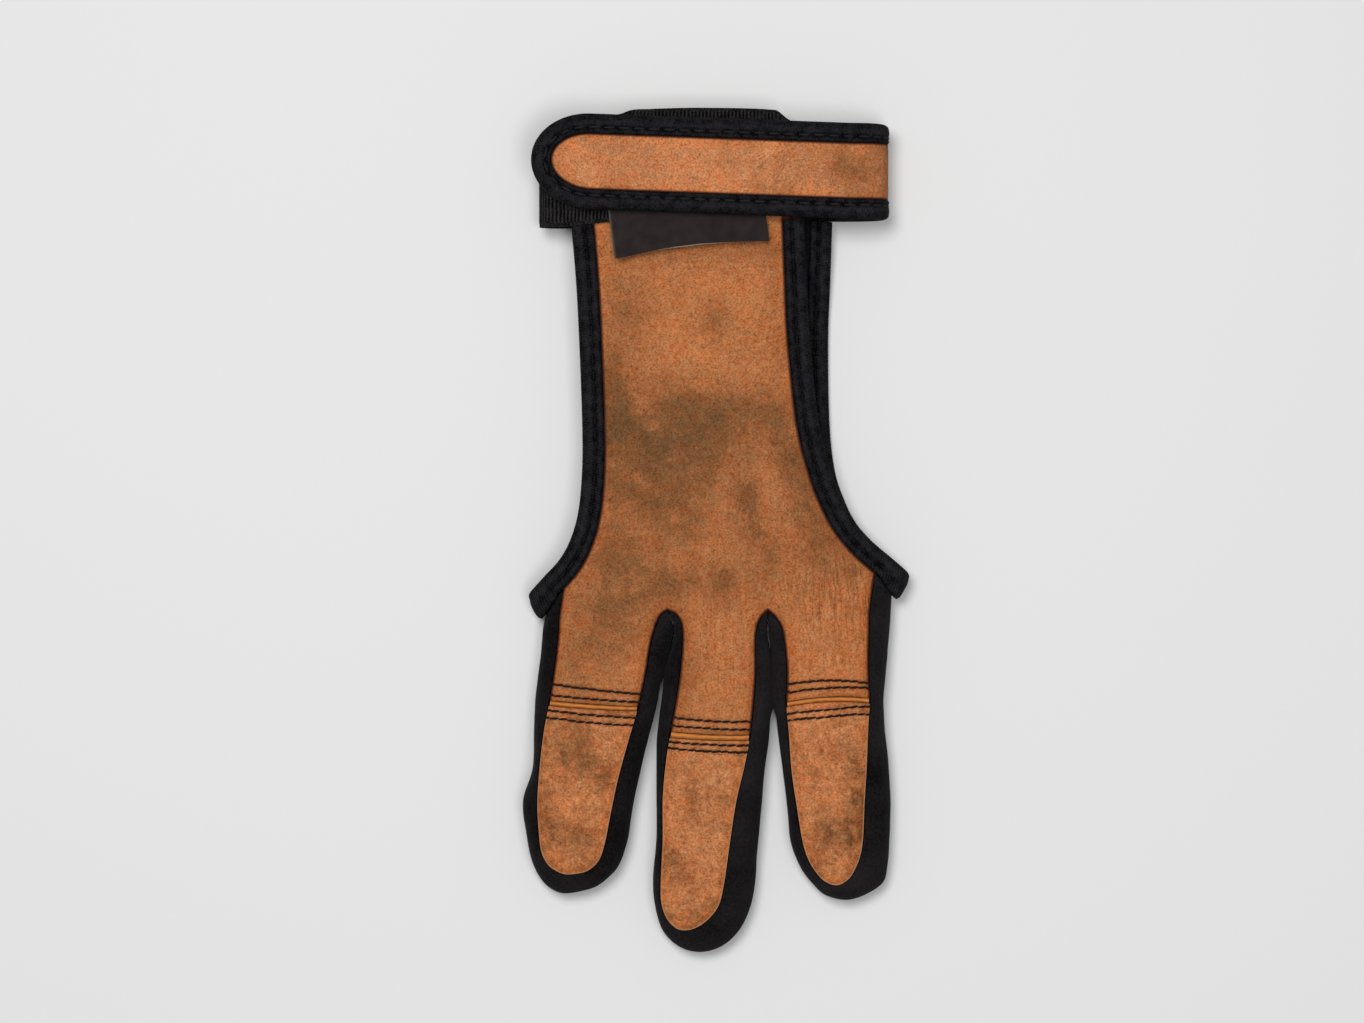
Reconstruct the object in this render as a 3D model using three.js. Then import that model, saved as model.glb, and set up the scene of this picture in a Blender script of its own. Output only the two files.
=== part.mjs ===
import * as THREE from "three";

// A three-finger archery glove lying on its back with the leather palm side up,
// its wrist strap closed. X runs across the hand towards the thumb, Y from the
// fingertips to the wrist and Z up. Lengths are in millimetres, angles in degrees.
// While it is built, Y is 0 on the line where the fingers part.

// Thickness of each material, and the clearance left beside every seam
const GAP = 0.3;
const SLANT_GAP = 0.5; // clearance of the back fabric from the gussets, whose seams run at a slant to it
const LEATHER = 1.3;
const STRETCH = 1.2;
const TAPE = 1.0;
const WEBBING = 1.2;
const LABEL = 1.0;
const UNDERLAY = 1.0;

// The hand
const FINGER_WIDTH = 28;
const FINGER_HEIGHT = 13;
const FINGER_CROWN = 2.2;
const HAND_LENGTH = 130.5;
const PALM_HEIGHT = 13.4;
const PALM_CROWN = 1.3;
const PALM_SAG = 0.6;
const WRIST_ROOM = 5;
const WRIST_RUN = 26; // length over which both panels slope to their height at the wrist
const KNUCKLE_RUN = 20; // length over which the fingers' three crowns run out into the palm
const BINDING_WIDTH = 5.8;
const CORNER_REACH = 6.2; // width of the gusset where it starts at an opening's corner
const CORNER_TAB = 1.5; // how far the tape's turn there stands out past a half circle
const GUSSET_TUCK = 0.5; // how far the gusset's lower seam lies in under its bulge, as a share of it
const WRIST_HEM = 3.8; // how far both panels end below the webbing's upper edge

// Each finger's stall, from the line where the fingers part
const RING_LENGTH = 75;
const MIDDLE_LENGTH = 88.8;
const INDEX_LENGTH = 75;

// The joint of each finger, where a slot parts the palm leather from the tip pad
const JOINT_SLOT = 1.5;
const JOINT_LAP = 5.5;
const JOINT_INSET = 1.2;

// The wrist closure
const STRAP_WIDTH = 24.9;
const STRAP_BINDING = 5.2;
const STRAP_TIP = 48.5;
const STRAP_END = 15.5;
const STRAP_FOLD = 44.5;
const STRAP_TAIL = 13;
const STRAP_SKEW = 0.036; // fall of the strap for each millimetre along its front run
const STRAP_BELOW_TOP = 15.35;
const WEB_WIDTH = 29;
const WEB_END = 18.7;
const WEB_FOLD = 46.5;
const WEB_TAIL = 14;
const LABEL_WIDTH = 41;
const LABEL_OFFSET = 8;
const LABEL_TUCKED = 8;
const LABEL_DROP = 12.5;
const LABEL_LEAN = 0.13; // shift towards the thumb for each millimetre that it drops
const LABEL_CURL = 1.3;
const HOOK_LENGTH = 9;
const HOOK_WIDTH = 9;
const HOOK_INSET = 4.3;

const KNUCKLE_WIDTH = 3 * FINGER_WIDTH;

// The stack of layers at the wrist, from the surface that the glove lies on upwards
const TAPE_FOLD = TAPE + GAP;
const STRAP_CHANNEL = LEATHER + 2 * TAPE_FOLD;
const BACK_AT_WRIST = STRAP_CHANNEL + GAP;
const WRIST_TOP = BACK_AT_WRIST + STRETCH + WRIST_ROOM + LEATHER;
const WEB_FRONT = WRIST_TOP + GAP + WEBBING / 2;
const WEB_BACK = BACK_AT_WRIST - GAP - WEBBING / 2;
const LABEL_MIDDLE = WEB_FRONT + WEBBING / 2 + GAP + LABEL / 2;
const STRAP_FRONT = LABEL_MIDDLE + LABEL / 2 + GAP + STRAP_CHANNEL / 2;
const STRAP_BACK = STRAP_CHANNEL / 2;

const table = (columns, ...rows) => {
  const names = columns.split(" ");
  return rows.map((row) => Object.fromEntries(names.map((name, i) => [name, row[i]])));
};

// The finished edges of the two hand openings, from the corner at the finger's base to the
// wrist closure. Along is a share of that run, the rest are shares of the knuckles' width.
const RIMS = table(
  "leftAlong leftFront leftBack rightAlong rightFront rightBack",
  [0.093, -0.533, -0.533, 0.138, 0.532, 0.532],
  [0.131, -0.492, -0.492, 0.179, 0.474, 0.474],
  [0.183, -0.458, -0.457, 0.23, 0.421, 0.426],
  [0.257, -0.433, -0.429, 0.288, 0.383, 0.392],
  [0.367, -0.421, -0.413, 0.362, 0.349, 0.364],
  [0.497, -0.421, -0.406, 0.485, 0.312, 0.348],
  [0.707, -0.43, -0.402, 0.689, 0.285, 0.344],
  [0.864, -0.44, -0.402, 0.842, 0.276, 0.35],
  [1, -0.454, -0.402, 1, 0.269, 0.356],
);

// Both panels' edges beyond the rims, hidden under the wrist closure. Along is a share
// of the run that is left, the rest are shares of the knuckles' width.
const WRIST_EDGES = table(
  "along leftFront leftBack rightFront rightBack",
  [0.45, -0.43, -0.385, 0.256, 0.335],
  [1, -0.37, -0.36, 0.215, 0.3],
);

// Where two fingers part. x is a share of the knuckles' width and depth, how wide the
// gusset shows in the notch, a share of a finger's. Lean is the direction of the fold.
const CROTCHES = table("x depth lean", [-0.156, 0.13, 22], [0.155, 0.14, 0]);

// One side of a finger from its base to its tip: the leather's edge and the gusset's
// outermost line. Along is a share of the finger's length, the rest of its width.
const side = (...rows) => table("faceAlong face rimAlong rim", ...rows);

const FINGERS = [
  {
    name: "ring",
    base: -0.339,
    lean: -8,
    length: RING_LENGTH,
    joint: { left: 0.348, right: 0.325 },
    left: side(
      [0.05, -0.443, 0.09, -0.58],
      [0.1, -0.43, 0.14, -0.575],
      [0.2, -0.42, 0.22, -0.568],
      [0.335, -0.424, 0.335, -0.562],
      [0.45, -0.438, 0.45, -0.535],
      [0.58, -0.43, 0.58, -0.498],
      [0.7, -0.405, 0.7, -0.543],
      [0.8, -0.353, 0.8, -0.48],
      [0.865, -0.305, 0.885, -0.405],
      [0.905, -0.23, 0.95, -0.305],
      [0.922, -0.15, 0.985, -0.2],
      [0.93, -0.06, 1, -0.06],
    ),
    right: side(
      [0.0, 0.473, 0.055, 0.609],
      [0.09, 0.43, 0.12, 0.594],
      [0.2, 0.422, 0.22, 0.576],
      [0.335, 0.392, 0.335, 0.563],
      [0.45, 0.348, 0.45, 0.525],
      [0.58, 0.305, 0.58, 0.495],
      [0.7, 0.283, 0.7, 0.478],
      [0.8, 0.268, 0.8, 0.468],
      [0.865, 0.235, 0.885, 0.415],
      [0.905, 0.15, 0.95, 0.28],
      [0.922, 0.05, 0.985, 0.11],
      [0.93, -0.06, 1, -0.06],
    ),
  },
  {
    name: "middle",
    base: 0.0093,
    lean: -3.6,
    length: MIDDLE_LENGTH,
    joint: { left: 0.3715, right: 0.366 },
    left: side(
      [0.025, -0.4, 0.082, -0.418],
      [0.07, -0.342, 0.12, -0.432],
      [0.2, -0.341, 0.22, -0.485],
      [0.367, -0.395, 0.367, -0.518],
      [0.45, -0.42, 0.45, -0.512],
      [0.56, -0.43, 0.56, -0.49],
      [0.68, -0.407, 0.68, -0.466],
      [0.8, -0.4, 0.8, -0.474],
      [0.865, -0.385, 0.88, -0.44],
      [0.91, -0.33, 0.951, -0.355],
      [0.937, -0.25, 0.994, -0.21],
      [0.945, -0.165, 1.01, -0.03],
    ),
    right: side(
      [0.018, 0.367, 0.079, 0.449],
      [0.07, 0.335, 0.12, 0.474],
      [0.2, 0.357, 0.22, 0.515],
      [0.367, 0.34, 0.367, 0.525],
      [0.45, 0.31, 0.45, 0.503],
      [0.56, 0.252, 0.56, 0.495],
      [0.68, 0.218, 0.68, 0.483],
      [0.8, 0.188, 0.8, 0.478],
      [0.865, 0.15, 0.88, 0.438],
      [0.91, 0.055, 0.951, 0.33],
      [0.937, -0.06, 0.994, 0.17],
      [0.945, -0.165, 1.01, -0.03],
    ),
  },
  {
    name: "index",
    base: 0.339,
    lean: 2.9,
    length: INDEX_LENGTH,
    joint: { left: 0.32, right: 0.322 },
    left: side(
      [0.02, -0.475, 0.094, -0.536],
      [0.07, -0.42, 0.15, -0.528],
      [0.2, -0.4, 0.22, -0.524],
      [0.319, -0.424, 0.319, -0.525],
      [0.42, -0.415, 0.42, -0.515],
      [0.55, -0.408, 0.55, -0.488],
      [0.68, -0.375, 0.68, -0.463],
      [0.8, -0.338, 0.8, -0.446],
      [0.87, -0.285, 0.89, -0.37],
      [0.925, -0.195, 0.957, -0.25],
      [0.948, -0.12, 0.996, -0.13],
      [0.957, -0.04, 1.013, 0.05],
    ),
    right: side(
      [0.0, 0.395, 0.03, 0.59],
      [0.07, 0.378, 0.1, 0.566],
      [0.2, 0.353, 0.22, 0.522],
      [0.319, 0.35, 0.319, 0.487],
      [0.42, 0.322, 0.42, 0.482],
      [0.55, 0.29, 0.55, 0.502],
      [0.68, 0.252, 0.68, 0.5],
      [0.8, 0.222, 0.8, 0.476],
      [0.87, 0.178, 0.89, 0.45],
      [0.925, 0.1, 0.957, 0.395],
      [0.948, 0.03, 0.996, 0.24],
      [0.957, -0.04, 1.013, 0.05],
    ),
  },
];

// How a finger's height runs along it, as shares of its length and of its full height
const FINGER_PROFILE = table("along height", [0, 0.96], [0.3, 1], [0.6, 0.99], [0.85, 0.92], [1, 0.76]);

// The webbing's two edges from its sewn end to its fold, as shares of that run and,
// below the top of the wrist, of the webbing's width
const WEB_EDGES = table(
  "along upper lower",
  [0, 0.11, 0.87],
  [0.06, 0.02, 0.88],
  [0.36, 0, 0.94],
  [0.6, 0.01, 0.99],
  [0.72, 0.045, 1.01],
  [1, 0.285, 1.065],
);

// The label's free edge, as shares of its width and of its drop below the strap
const LABEL_EDGE = table("across drop", [-0.5, 1], [-0.2, 0.77], [0.05, 0.62], [0.5, 0.52]);

const { lerp, smoothstep, degToRad, clamp } = THREE.MathUtils;
const UP = new THREE.Vector3(0, 0, 1);
const flat = (x, y) => new THREE.Vector3(x, y, 0);
const raised = (point, z) => new THREE.Vector3(point.x, point.y, z);
const moved = (point, direction, distance) => point.clone().addScaledVector(direction, distance);
const steps = (from, to, count) =>
  Array.from({ length: count + 1 }, (_, i) => lerp(from, to, i / count));
const chord = (a, b, shares) => shares.map((share) => a.clone().lerp(b, share));

// A smooth function of the row number through one column of a table
function column(rows, name) {
  const at = (i) => rows[clamp(i, 0, rows.length - 1)][name];
  return (r) => {
    const i = clamp(Math.floor(r), 0, rows.length - 2);
    const f = r - i;
    const [a, b, c, d] = [at(i - 1), at(i), at(i + 1), at(i + 2)];
    return b + 0.5 * f * (c - a + f * (2 * a - 5 * b + 4 * c - d + f * (3 * (b - c) + d - a)));
  };
}

// The row number at which a rising column of a table has a given value
function rowAt(rows, name, value) {
  const reached = rows.findIndex((row) => row[name] >= value);
  const after = clamp(reached < 0 ? rows.length - 1 : reached, 1, rows.length - 1);
  const [low, high] = [rows[after - 1][name], rows[after][name]];
  return after - 1 + clamp((value - low) / (high - low), 0, 1);
}

// A closed body from corner points and triangles, turned so that its faces point out
function body(points, triangles) {
  const volume = triangles.reduce((sum, [a, b, c]) => {
    return sum + points[a].dot(new THREE.Vector3().crossVectors(points[b], points[c]));
  }, 0);
  const index = triangles.flatMap(([a, b, c]) => (volume > 0 ? [a, b, c] : [a, c, b]));
  const position = new THREE.Float32BufferAttribute(points.flatMap((p) => p.toArray()), 3);
  return new THREE.BufferGeometry().setAttribute("position", position).setIndex(index);
}

// A sheet of material from grids of [outer, inner] points. Grids that share points are joined.
function sheet(...grids) {
  const known = new Map();
  const outer = [];
  const inner = [];
  const cornerOf = ([above, below]) => {
    const key = above.toArray().map((value) => value.toFixed(3)).join();
    if (!known.has(key)) {
      known.set(key, outer.length);
      outer.push(above);
      inner.push(below);
    }
    return known.get(key);
  };
  const faces = [];
  for (const grid of grids) {
    for (let i = 1; i < grid.length; i++) {
      for (let j = 1; j < grid[i].length; j++) {
        const corners = [grid[i - 1][j - 1], grid[i - 1][j], grid[i][j], grid[i][j - 1]];
        const [a, b, c, d] = corners.map(cornerOf);
        faces.push([a, b, c], [a, c, d]);
      }
    }
  }
  const real = faces.filter((face) => new Set(face).size === 3);
  const edges = new Set(real.flatMap(([a, b, c]) => [`${a} ${b}`, `${b} ${c}`, `${c} ${a}`]));
  const under = outer.length;
  const walls = [...edges].flatMap((edge) => {
    const [a, b] = edge.split(" ").map(Number);
    return edges.has(`${b} ${a}`) ? [] : [[b, a, a + under], [b, a + under, b + under]];
  });
  const below = real.map(([a, b, c]) => [c + under, b + under, a + under]);
  return body([...outer, ...inner], [...real, ...below, ...walls]);
}

// A closed profile swept through stations, each with an origin and two directions of its own
function sweep(stations) {
  const count = stations[0].profile.length;
  const points = stations.flatMap(({ origin, across, up, profile }) =>
    profile.map(([a, b]) => moved(moved(origin, across, a), up, b)),
  );
  const triangles = [];
  for (let i = 1; i < stations.length; i++) {
    for (let j = 0; j < count; j++) {
      const [a, b] = [(i - 1) * count + j, (i - 1) * count + ((j + 1) % count)];
      triangles.push([a, b, b + count], [a, b + count, a + count]);
    }
  }
  const cap = (station, first, reversed) => {
    const outline = station.profile.map(([a, b]) => new THREE.Vector2(a, b));
    const clockwise = THREE.ShapeUtils.isClockWise(outline) !== reversed;
    for (const face of THREE.ShapeUtils.triangulateShape(outline, [])) {
      const kept = THREE.ShapeUtils.isClockWise(face.map((i) => outline[i])) === clockwise;
      triangles.push((kept ? face : face.toReversed()).map((i) => first + i));
    }
  };
  cap(stations[0], 0, true);
  cap(stations.at(-1), (stations.length - 1) * count, false);
  return body(points, triangles);
}

// The binding tape's section: a folded channel whose slot takes the edge of a sheet. The
// first number runs outwards from the sheet's cut edge, the second through its thickness.
function channel(thickness, width) {
  const slot = thickness / 2 + GAP;
  const half = slot + TAPE;
  const leg = TAPE_FOLD - width;
  const round = half * 0.45;
  return [
    [leg, half],
    [TAPE_FOLD - round, half],
    [TAPE_FOLD, half - round],
    [TAPE_FOLD, round - half],
    [TAPE_FOLD - round, -half],
    [leg, -half],
    [leg, -slot],
    [GAP, -slot],
    [GAP, slot],
    [leg, slot],
  ];
}

// Where the webbing's lower edge and the strap lie along the hand
const strapCentre = (x) => HAND_LENGTH - STRAP_BELOW_TOP - STRAP_SKEW * x;
const strapLow = (x) => strapCentre(x) - STRAP_WIDTH / 2;
const STRAP_RADIUS = (STRAP_FRONT - STRAP_BACK) / 2;
const STRAP_TURN = STRAP_FOLD - STRAP_RADIUS - STRAP_CHANNEL / 2;
const WEB_RADIUS = (WEB_FRONT - WEB_BACK) / 2;
const WEB_TURN = WEB_FOLD - WEB_RADIUS - WEBBING / 2;
const WEB_LOW = HAND_LENGTH - WEB_EDGES.at(-1).lower * WEB_WIDTH;

// Each finger's two sides as lines from base to tip, in a frame that leans with the finger
for (const finger of FINGERS) {
  const angle = degToRad(finger.lean);
  const across = flat(Math.cos(angle), Math.sin(angle));
  const along = flat(Math.sin(angle), -Math.cos(angle));
  const base = flat(finger.base * KNUCKLE_WIDTH, 0);
  const line = (rows, edge) => {
    const [u, v] = [column(rows, edge), column(rows, `${edge}Along`)];
    return (r) => moved(moved(base, across, u(r) * FINGER_WIDTH), along, v(r) * finger.length);
  };
  finger.across = (point) => point.clone().sub(base).dot(across) / FINGER_WIDTH;
  finger.along = (point) => point.clone().sub(base).dot(along) / finger.length;
  finger.face = { left: line(finger.left, "face"), right: line(finger.right, "face") };
  finger.rim = { left: line(finger.left, "rim"), right: line(finger.right, "rim") };
  finger.jointRow = (edge, distance) =>
    rowAt(finger[edge], "faceAlong", finger.joint[edge] + distance / finger.length);
}
const TIP_ROW = FINGERS[0].left.length - 1;
const JOINT_ROW = 3;

// Height of the leather's outer face at any point of the front
function frontTop(point) {
  const tops = FINGERS.map((finger) => {
    const row = rowAt(FINGER_PROFILE, "along", finger.along(point));
    const crown = FINGER_CROWN * (2 * finger.across(point)) ** 2;
    return FINGER_HEIGHT * column(FINGER_PROFILE, "height")(row) - crown;
  });
  const crown = PALM_CROWN * ((2 * point.x) / KNUCKLE_WIDTH) ** 2;
  const sag = PALM_SAG * Math.sin(Math.PI * clamp(point.y / WEB_LOW, 0, 1));
  const knuckles = smoothstep(point.y, 0, KNUCKLE_RUN);
  const hand = lerp(Math.max(...tops), PALM_HEIGHT - crown - sag, knuckles);
  return lerp(hand, WRIST_TOP, smoothstep(point.y, WEB_LOW - WRIST_RUN, WEB_LOW));
}

// Height of the back fabric's underside: flat under the fingers, clear of the tape in the hand
function backUnder(point) {
  const hand = TAPE_FOLD * smoothstep(point.y, -KNUCKLE_RUN, 0);
  return lerp(hand, BACK_AT_WRIST, smoothstep(point.y, WEB_LOW - WRIST_RUN, WEB_LOW));
}

const leather = (point) => [raised(point, frontTop(point)), raised(point, frontTop(point) - LEATHER)];
const fabric = (point) => [raised(point, backUnder(point) + STRETCH), raised(point, backUnder(point))];

// One hand opening: its finished edges on the front and the back, the direction from there
// into the panel, and the corner where it meets the outer finger's gusset
function opening(edge) {
  const run = (edge === "left" ? WEB_LOW : strapLow(STRAP_TURN)) - GAP;
  const along = column(RIMS, `${edge}Along`);
  const rim = (face, r) => flat(column(RIMS, edge + face)(r) * KNUCKLE_WIDTH, along(r) * run);
  const heading = (face, r) => {
    const nearby = 0.01;
    return rim(face, r + nearby).sub(rim(face, r - nearby)).normalize();
  };
  const into = (face, r) => {
    const turn = edge === "left" ? -Math.PI / 2 : Math.PI / 2;
    return heading(face, r).applyAxisAngle(UP, turn);
  };
  const cut = (face, r) => moved(rim(face, r), into(face, r), TAPE_FOLD);
  const corner = moved(rim("Front", 0), into("Front", 0), BINDING_WIDTH + GAP);
  const beyond = (face) => WRIST_EDGES.map((row) => {
    const y = lerp(run, HAND_LENGTH - WRIST_HEM, row.along);
    return flat(row[edge + face] * KNUCKLE_WIDTH, y);
  });
  return { rim, heading, into, cut, corner, beyond };
}
const OPENINGS = { left: opening("left"), right: opening("right") };
const RIM_END = RIMS.length - 1;

// A station of a gusset: the leather's edge, the way out from it, and how wide it bulges.
// Its lower seam lies in under the bulge, by less where it tucks up to a corner.
function bulge(point, toward, tuck = GUSSET_TUCK) {
  const direction = toward.clone().sub(point);
  const width = direction.length();
  const seam = Math.max(GAP, width * (1 - tuck));
  return { point, direction: direction.normalize(), width, seam };
}

// Both ends of a finger's gusset, at a hand opening's corner or where two fingers part
function cornerBulge(edge) {
  const { corner, heading } = OPENINGS[edge];
  return bulge(corner, moved(corner, heading("Front", 0), -CORNER_REACH), 1);
}
function crotchBulge({ x, depth, lean }, shift) {
  const fold = flat(Math.sin(degToRad(lean)), -Math.cos(degToRad(lean)));
  const apex = moved(flat(x * KNUCKLE_WIDTH, 0), fold.clone().applyAxisAngle(UP, Math.PI / 2), shift);
  return bulge(apex, moved(apex, fold, depth * FINGER_WIDTH));
}
const ends = (shift) => [
  cornerBulge("left"),
  crotchBulge(CROTCHES[0], -shift),
  crotchBulge(CROTCHES[0], shift),
  crotchBulge(CROTCHES[1], -shift),
  crotchBulge(CROTCHES[1], shift),
  cornerBulge("right"),
];
const sideBulge = (finger, edge, r) => bulge(finger.face[edge](r), finger.rim[edge](r));
const backEdge = ({ point, direction, seam }) => moved(point, direction, seam - SLANT_GAP);

const LANES = [0, 0.25, 0.5, 0.75, 1];

// The panel of one hand face: rows across it from the wrist to the line of corners and
// crotches, and then a lane down each finger
function handRows(face, cornerPoints) {
  const lanes = [0, 2, 4].map((i) => chord(cornerPoints[i], cornerPoints[i + 1], LANES));
  const corners = [...lanes[0], ...lanes[1].slice(1), ...lanes[2].slice(1)];
  const width = corners.at(-1).x - corners[0].x;
  const shares = corners.map(({ x }) => (x - corners[0].x) / width);
  const { left, right } = OPENINGS;
  const [leftTop, rightTop] = [left.beyond(face), right.beyond(face)];
  const rows = [1, 0].map((i) => chord(leftTop[i], rightTop[i], shares));
  for (const r of [8, 7, 6, 5.5, 5, 4.5, 4, 3.5, 3, 2.5, 2, 1.5, 1, 0.5, 0]) {
    rows.push(chord(left.cut(face, r), right.cut(face, r), shares));
  }
  return [...rows, corners];
}

function palmPanel() {
  const corners = ends(0).map(({ point }) => point);
  const lanes = FINGERS.map((finger, i) => {
    const rows = [0, 0.5, 1, 2].map((r) => [finger.face.left(r), finger.face.right(r)]);
    const joint = ["left", "right"].map((edge) =>
      finger.face[edge](finger.jointRow(edge, -JOINT_SLOT / 2)),
    );
    return [corners.slice(2 * i, 2 * i + 2), ...rows, joint].map(([a, b]) => chord(a, b, LANES));
  });
  const grids = [handRows("Front", corners), ...lanes];
  return sheet(...grids.map((grid) => grid.map((row) => row.map(leather))));
}

function tipPad(finger) {
  const joint = ["left", "right"].map((edge) =>
    finger.face[edge](finger.jointRow(edge, JOINT_SLOT / 2)),
  );
  const rows = steps(JOINT_ROW + 1, TIP_ROW, 2 * (TIP_ROW - JOINT_ROW - 1)).map((r) => [
    finger.face.left(r),
    finger.face.right(r),
  ]);
  return sheet([joint, ...rows].map(([a, b]) => chord(a, b, LANES).map(leather)));
}

// The raw strip under a joint's slot, sewn to the leather on both sides of it
function jointStrip(finger) {
  const grid = [-JOINT_LAP, -JOINT_LAP / 2, 0, JOINT_LAP / 2, JOINT_LAP].map((distance) => {
    const [a, b] = ["left", "right"].map((edge) =>
      finger.face[edge](finger.jointRow(edge, distance)),
    );
    const inset = JOINT_INSET / a.distanceTo(b);
    return chord(a, b, steps(inset, 1 - inset, 4)).map((point) => {
      const top = frontTop(point) - LEATHER - GAP;
      return [raised(point, top), raised(point, top - UNDERLAY)];
    });
  });
  return sheet(grid);
}

// The stretch wall round a finger, from one end of its leather edge round the tip to the other
function gusset(finger, first, last) {
  const rows = [...steps(0, 9, 9), ...steps(9.5, TIP_ROW, 3)];
  const sides = [
    ...rows.map((r) => sideBulge(finger, "left", r)),
    ...rows.toReversed().slice(1).map((r) => sideBulge(finger, "right", r)),
  ];
  const quarter = [0, 30, 60, 90].map(degToRad);
  return sweep(
    [first, ...sides, last].map(({ point, direction, width, seam }) => {
      const [top, bottom] = [frontTop(point), backUnder(point)];
      const middle = (top + bottom) / 2;
      const upper = (wall) => quarter.map((angle) => [
        GAP + (width - wall - GAP) * Math.sin(angle),
        middle + (top - wall - middle) * Math.cos(angle),
      ]);
      const lower = (wall) => quarter.slice(1).map((angle) => [
        seam + (width - wall - seam) * Math.cos(angle),
        middle - (middle - bottom - wall) * Math.sin(angle),
      ]);
      const inner = [...upper(STRETCH), ...lower(STRETCH)];
      const profile = [...upper(0), ...lower(0), ...inner.toReversed()];
      return { origin: point, across: direction, up: UP, profile };
    }),
  );
}

function backPanel() {
  const lanes = FINGERS.map((finger, i) => {
    const first = ends(0).slice(2 * i, 2 * i + 2).map(backEdge);
    const rows = [...steps(0, 9, 9), ...steps(9.5, TIP_ROW, 3)].map((r) => [
      backEdge(sideBulge(finger, "left", r)),
      backEdge(sideBulge(finger, "right", r)),
    ]);
    return [first, ...rows].map(([a, b]) => chord(a, b, LANES));
  });
  const grids = [handRows("Back", ends(0).map(backEdge)), ...lanes];
  return sheet(...grids.map((grid) => grid.map((row) => row.map(fabric))));
}

// One length of tape round a hand opening: down the front rim, over the gusset's corner and
// back up the rim of the back
function openingBinding(edge) {
  const { rim, heading, into, cut } = OPENINGS[edge];
  const station = (face, r) => {
    const [thickness, height, facing] =
      face === "Front"
        ? [LEATHER, (p) => frontTop(p) - LEATHER / 2, 1]
        : [STRETCH, (p) => backUnder(p) + STRETCH / 2, -1];
    const origin = cut(face, r);
    const reach = BINDING_WIDTH - TAPE_FOLD;
    const inner = moved(origin, into(face, r), reach);
    origin.z = height(origin);
    inner.z = height(inner);
    const across = origin.clone().sub(inner).normalize();
    const up = new THREE.Vector3().crossVectors(heading(face, r), across).normalize();
    return {
      origin,
      across,
      up: up.multiplyScalar(Math.sign(up.z) * facing),
      profile: channel(thickness, BINDING_WIDTH),
    };
  };
  const rows = [8, 7, 6, 5, 4.5, 4, 3.5, 3, 2.5, 2, 1.5, 1, 0.5, 0];
  const front = rows.map((r) => station("Front", r));
  const back = rows.toReversed().map((r) => station("Back", r));
  const [start, end] = [front.at(-1), back[0]];
  const out = heading("Front", 0).negate();
  const radius = (start.origin.z - end.origin.z) / 2;
  const turn = steps(0, 180, 6).slice(1, -1).map((angle) => {
    const share = angle / 180;
    const [sine, cosine] = [Math.sin(degToRad(angle)), Math.cos(degToRad(angle))];
    const centre = start.origin.clone().lerp(end.origin, 0.5);
    const up = moved(UP.clone().multiplyScalar(cosine), out, sine);
    const lean = start.across.dot(UP) * (1 - share);
    const across = moved(into("Front", 0).negate(), up, lean).normalize();
    return {
      origin: moved(moved(centre, up, radius), out, CORNER_TAB * sine),
      across,
      up: moved(up, across, -up.dot(across)).normalize(),
      profile: channel(lerp(LEATHER, STRETCH, share), BINDING_WIDTH),
    };
  });
  return sweep([...front, ...turn, ...back]);
}

// The places along a band that folds round one side of the wrist and comes back underneath
function fold(turn, facing, top, bottom) {
  const radius = (top - bottom) / 2;
  return steps(0, 180, 8).map((angle) => {
    const [sine, cosine] = [Math.sin(degToRad(angle)), Math.cos(degToRad(angle))];
    return {
      x: facing * (turn + radius * sine),
      z: bottom + radius * (1 + cosine),
      normal: new THREE.Vector3(facing * sine, 0, cosine),
    };
  });
}

// A band's sheet from places along it, each with its two edges
function bandSheet(places, thickness) {
  return sheet(
    places.map(({ x, z, normal, low, high }) =>
      steps(low, high, 4).map((y) => {
        const middle = new THREE.Vector3(x, y, z);
        return [moved(middle, normal, thickness / 2), moved(middle, normal, -thickness / 2)];
      }),
    ),
  );
}

function wristWeb() {
  const edges = (along) => {
    const row = rowAt(WEB_EDGES, "along", along);
    return {
      low: HAND_LENGTH - column(WEB_EDGES, "lower")(row) * WEB_WIDTH,
      high: HAND_LENGTH - column(WEB_EDGES, "upper")(row) * WEB_WIDTH,
    };
  };
  const front = [0, 0.03, 0.06, 0.2, 0.36, 0.5, 0.6, 0.72, 0.85].map((along) => {
    return { x: lerp(WEB_END, -WEB_TURN, along), z: WEB_FRONT, normal: UP, ...edges(along) };
  });
  const round = fold(WEB_TURN, -1, WEB_FRONT, WEB_BACK).map((place) => ({ ...place, ...edges(1) }));
  const back = { ...round.at(-1), x: -WEB_TAIL };
  return bandSheet([...front, ...round, back], WEBBING);
}

// The strap's leather and its binding follow one outline: straight edges and a half-ellipse end
const STRAP_HALF = STRAP_WIDTH / 2 - TAPE_FOLD;
const END_LENGTH = STRAP_END - TAPE_FOLD;
const END_START = STRAP_END - STRAP_TIP;

function strapPlaces() {
  const start = { x: END_START, z: STRAP_FRONT, normal: UP };
  const round = fold(STRAP_TURN, 1, STRAP_FRONT, STRAP_BACK);
  return [start, ...round, { ...round.at(-1), x: -STRAP_TAIL }];
}
const placeCentre = ({ x, z }) => strapCentre(z === STRAP_FRONT ? x : STRAP_TURN);

function strapLeather() {
  const end = steps(0, 75, 5).map(degToRad).map((angle) => {
    const x = END_START - END_LENGTH * Math.cos(angle);
    const half = STRAP_HALF * Math.sin(angle);
    const [low, high] = [strapCentre(x) - half, strapCentre(x) + half];
    return { x, z: STRAP_FRONT, normal: UP, low, high };
  });
  const straight = strapPlaces().map((place) => {
    const centre = placeCentre(place);
    return { ...place, low: centre - STRAP_HALF, high: centre + STRAP_HALF };
  });
  return bandSheet([...end, ...straight], LEATHER);
}

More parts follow.
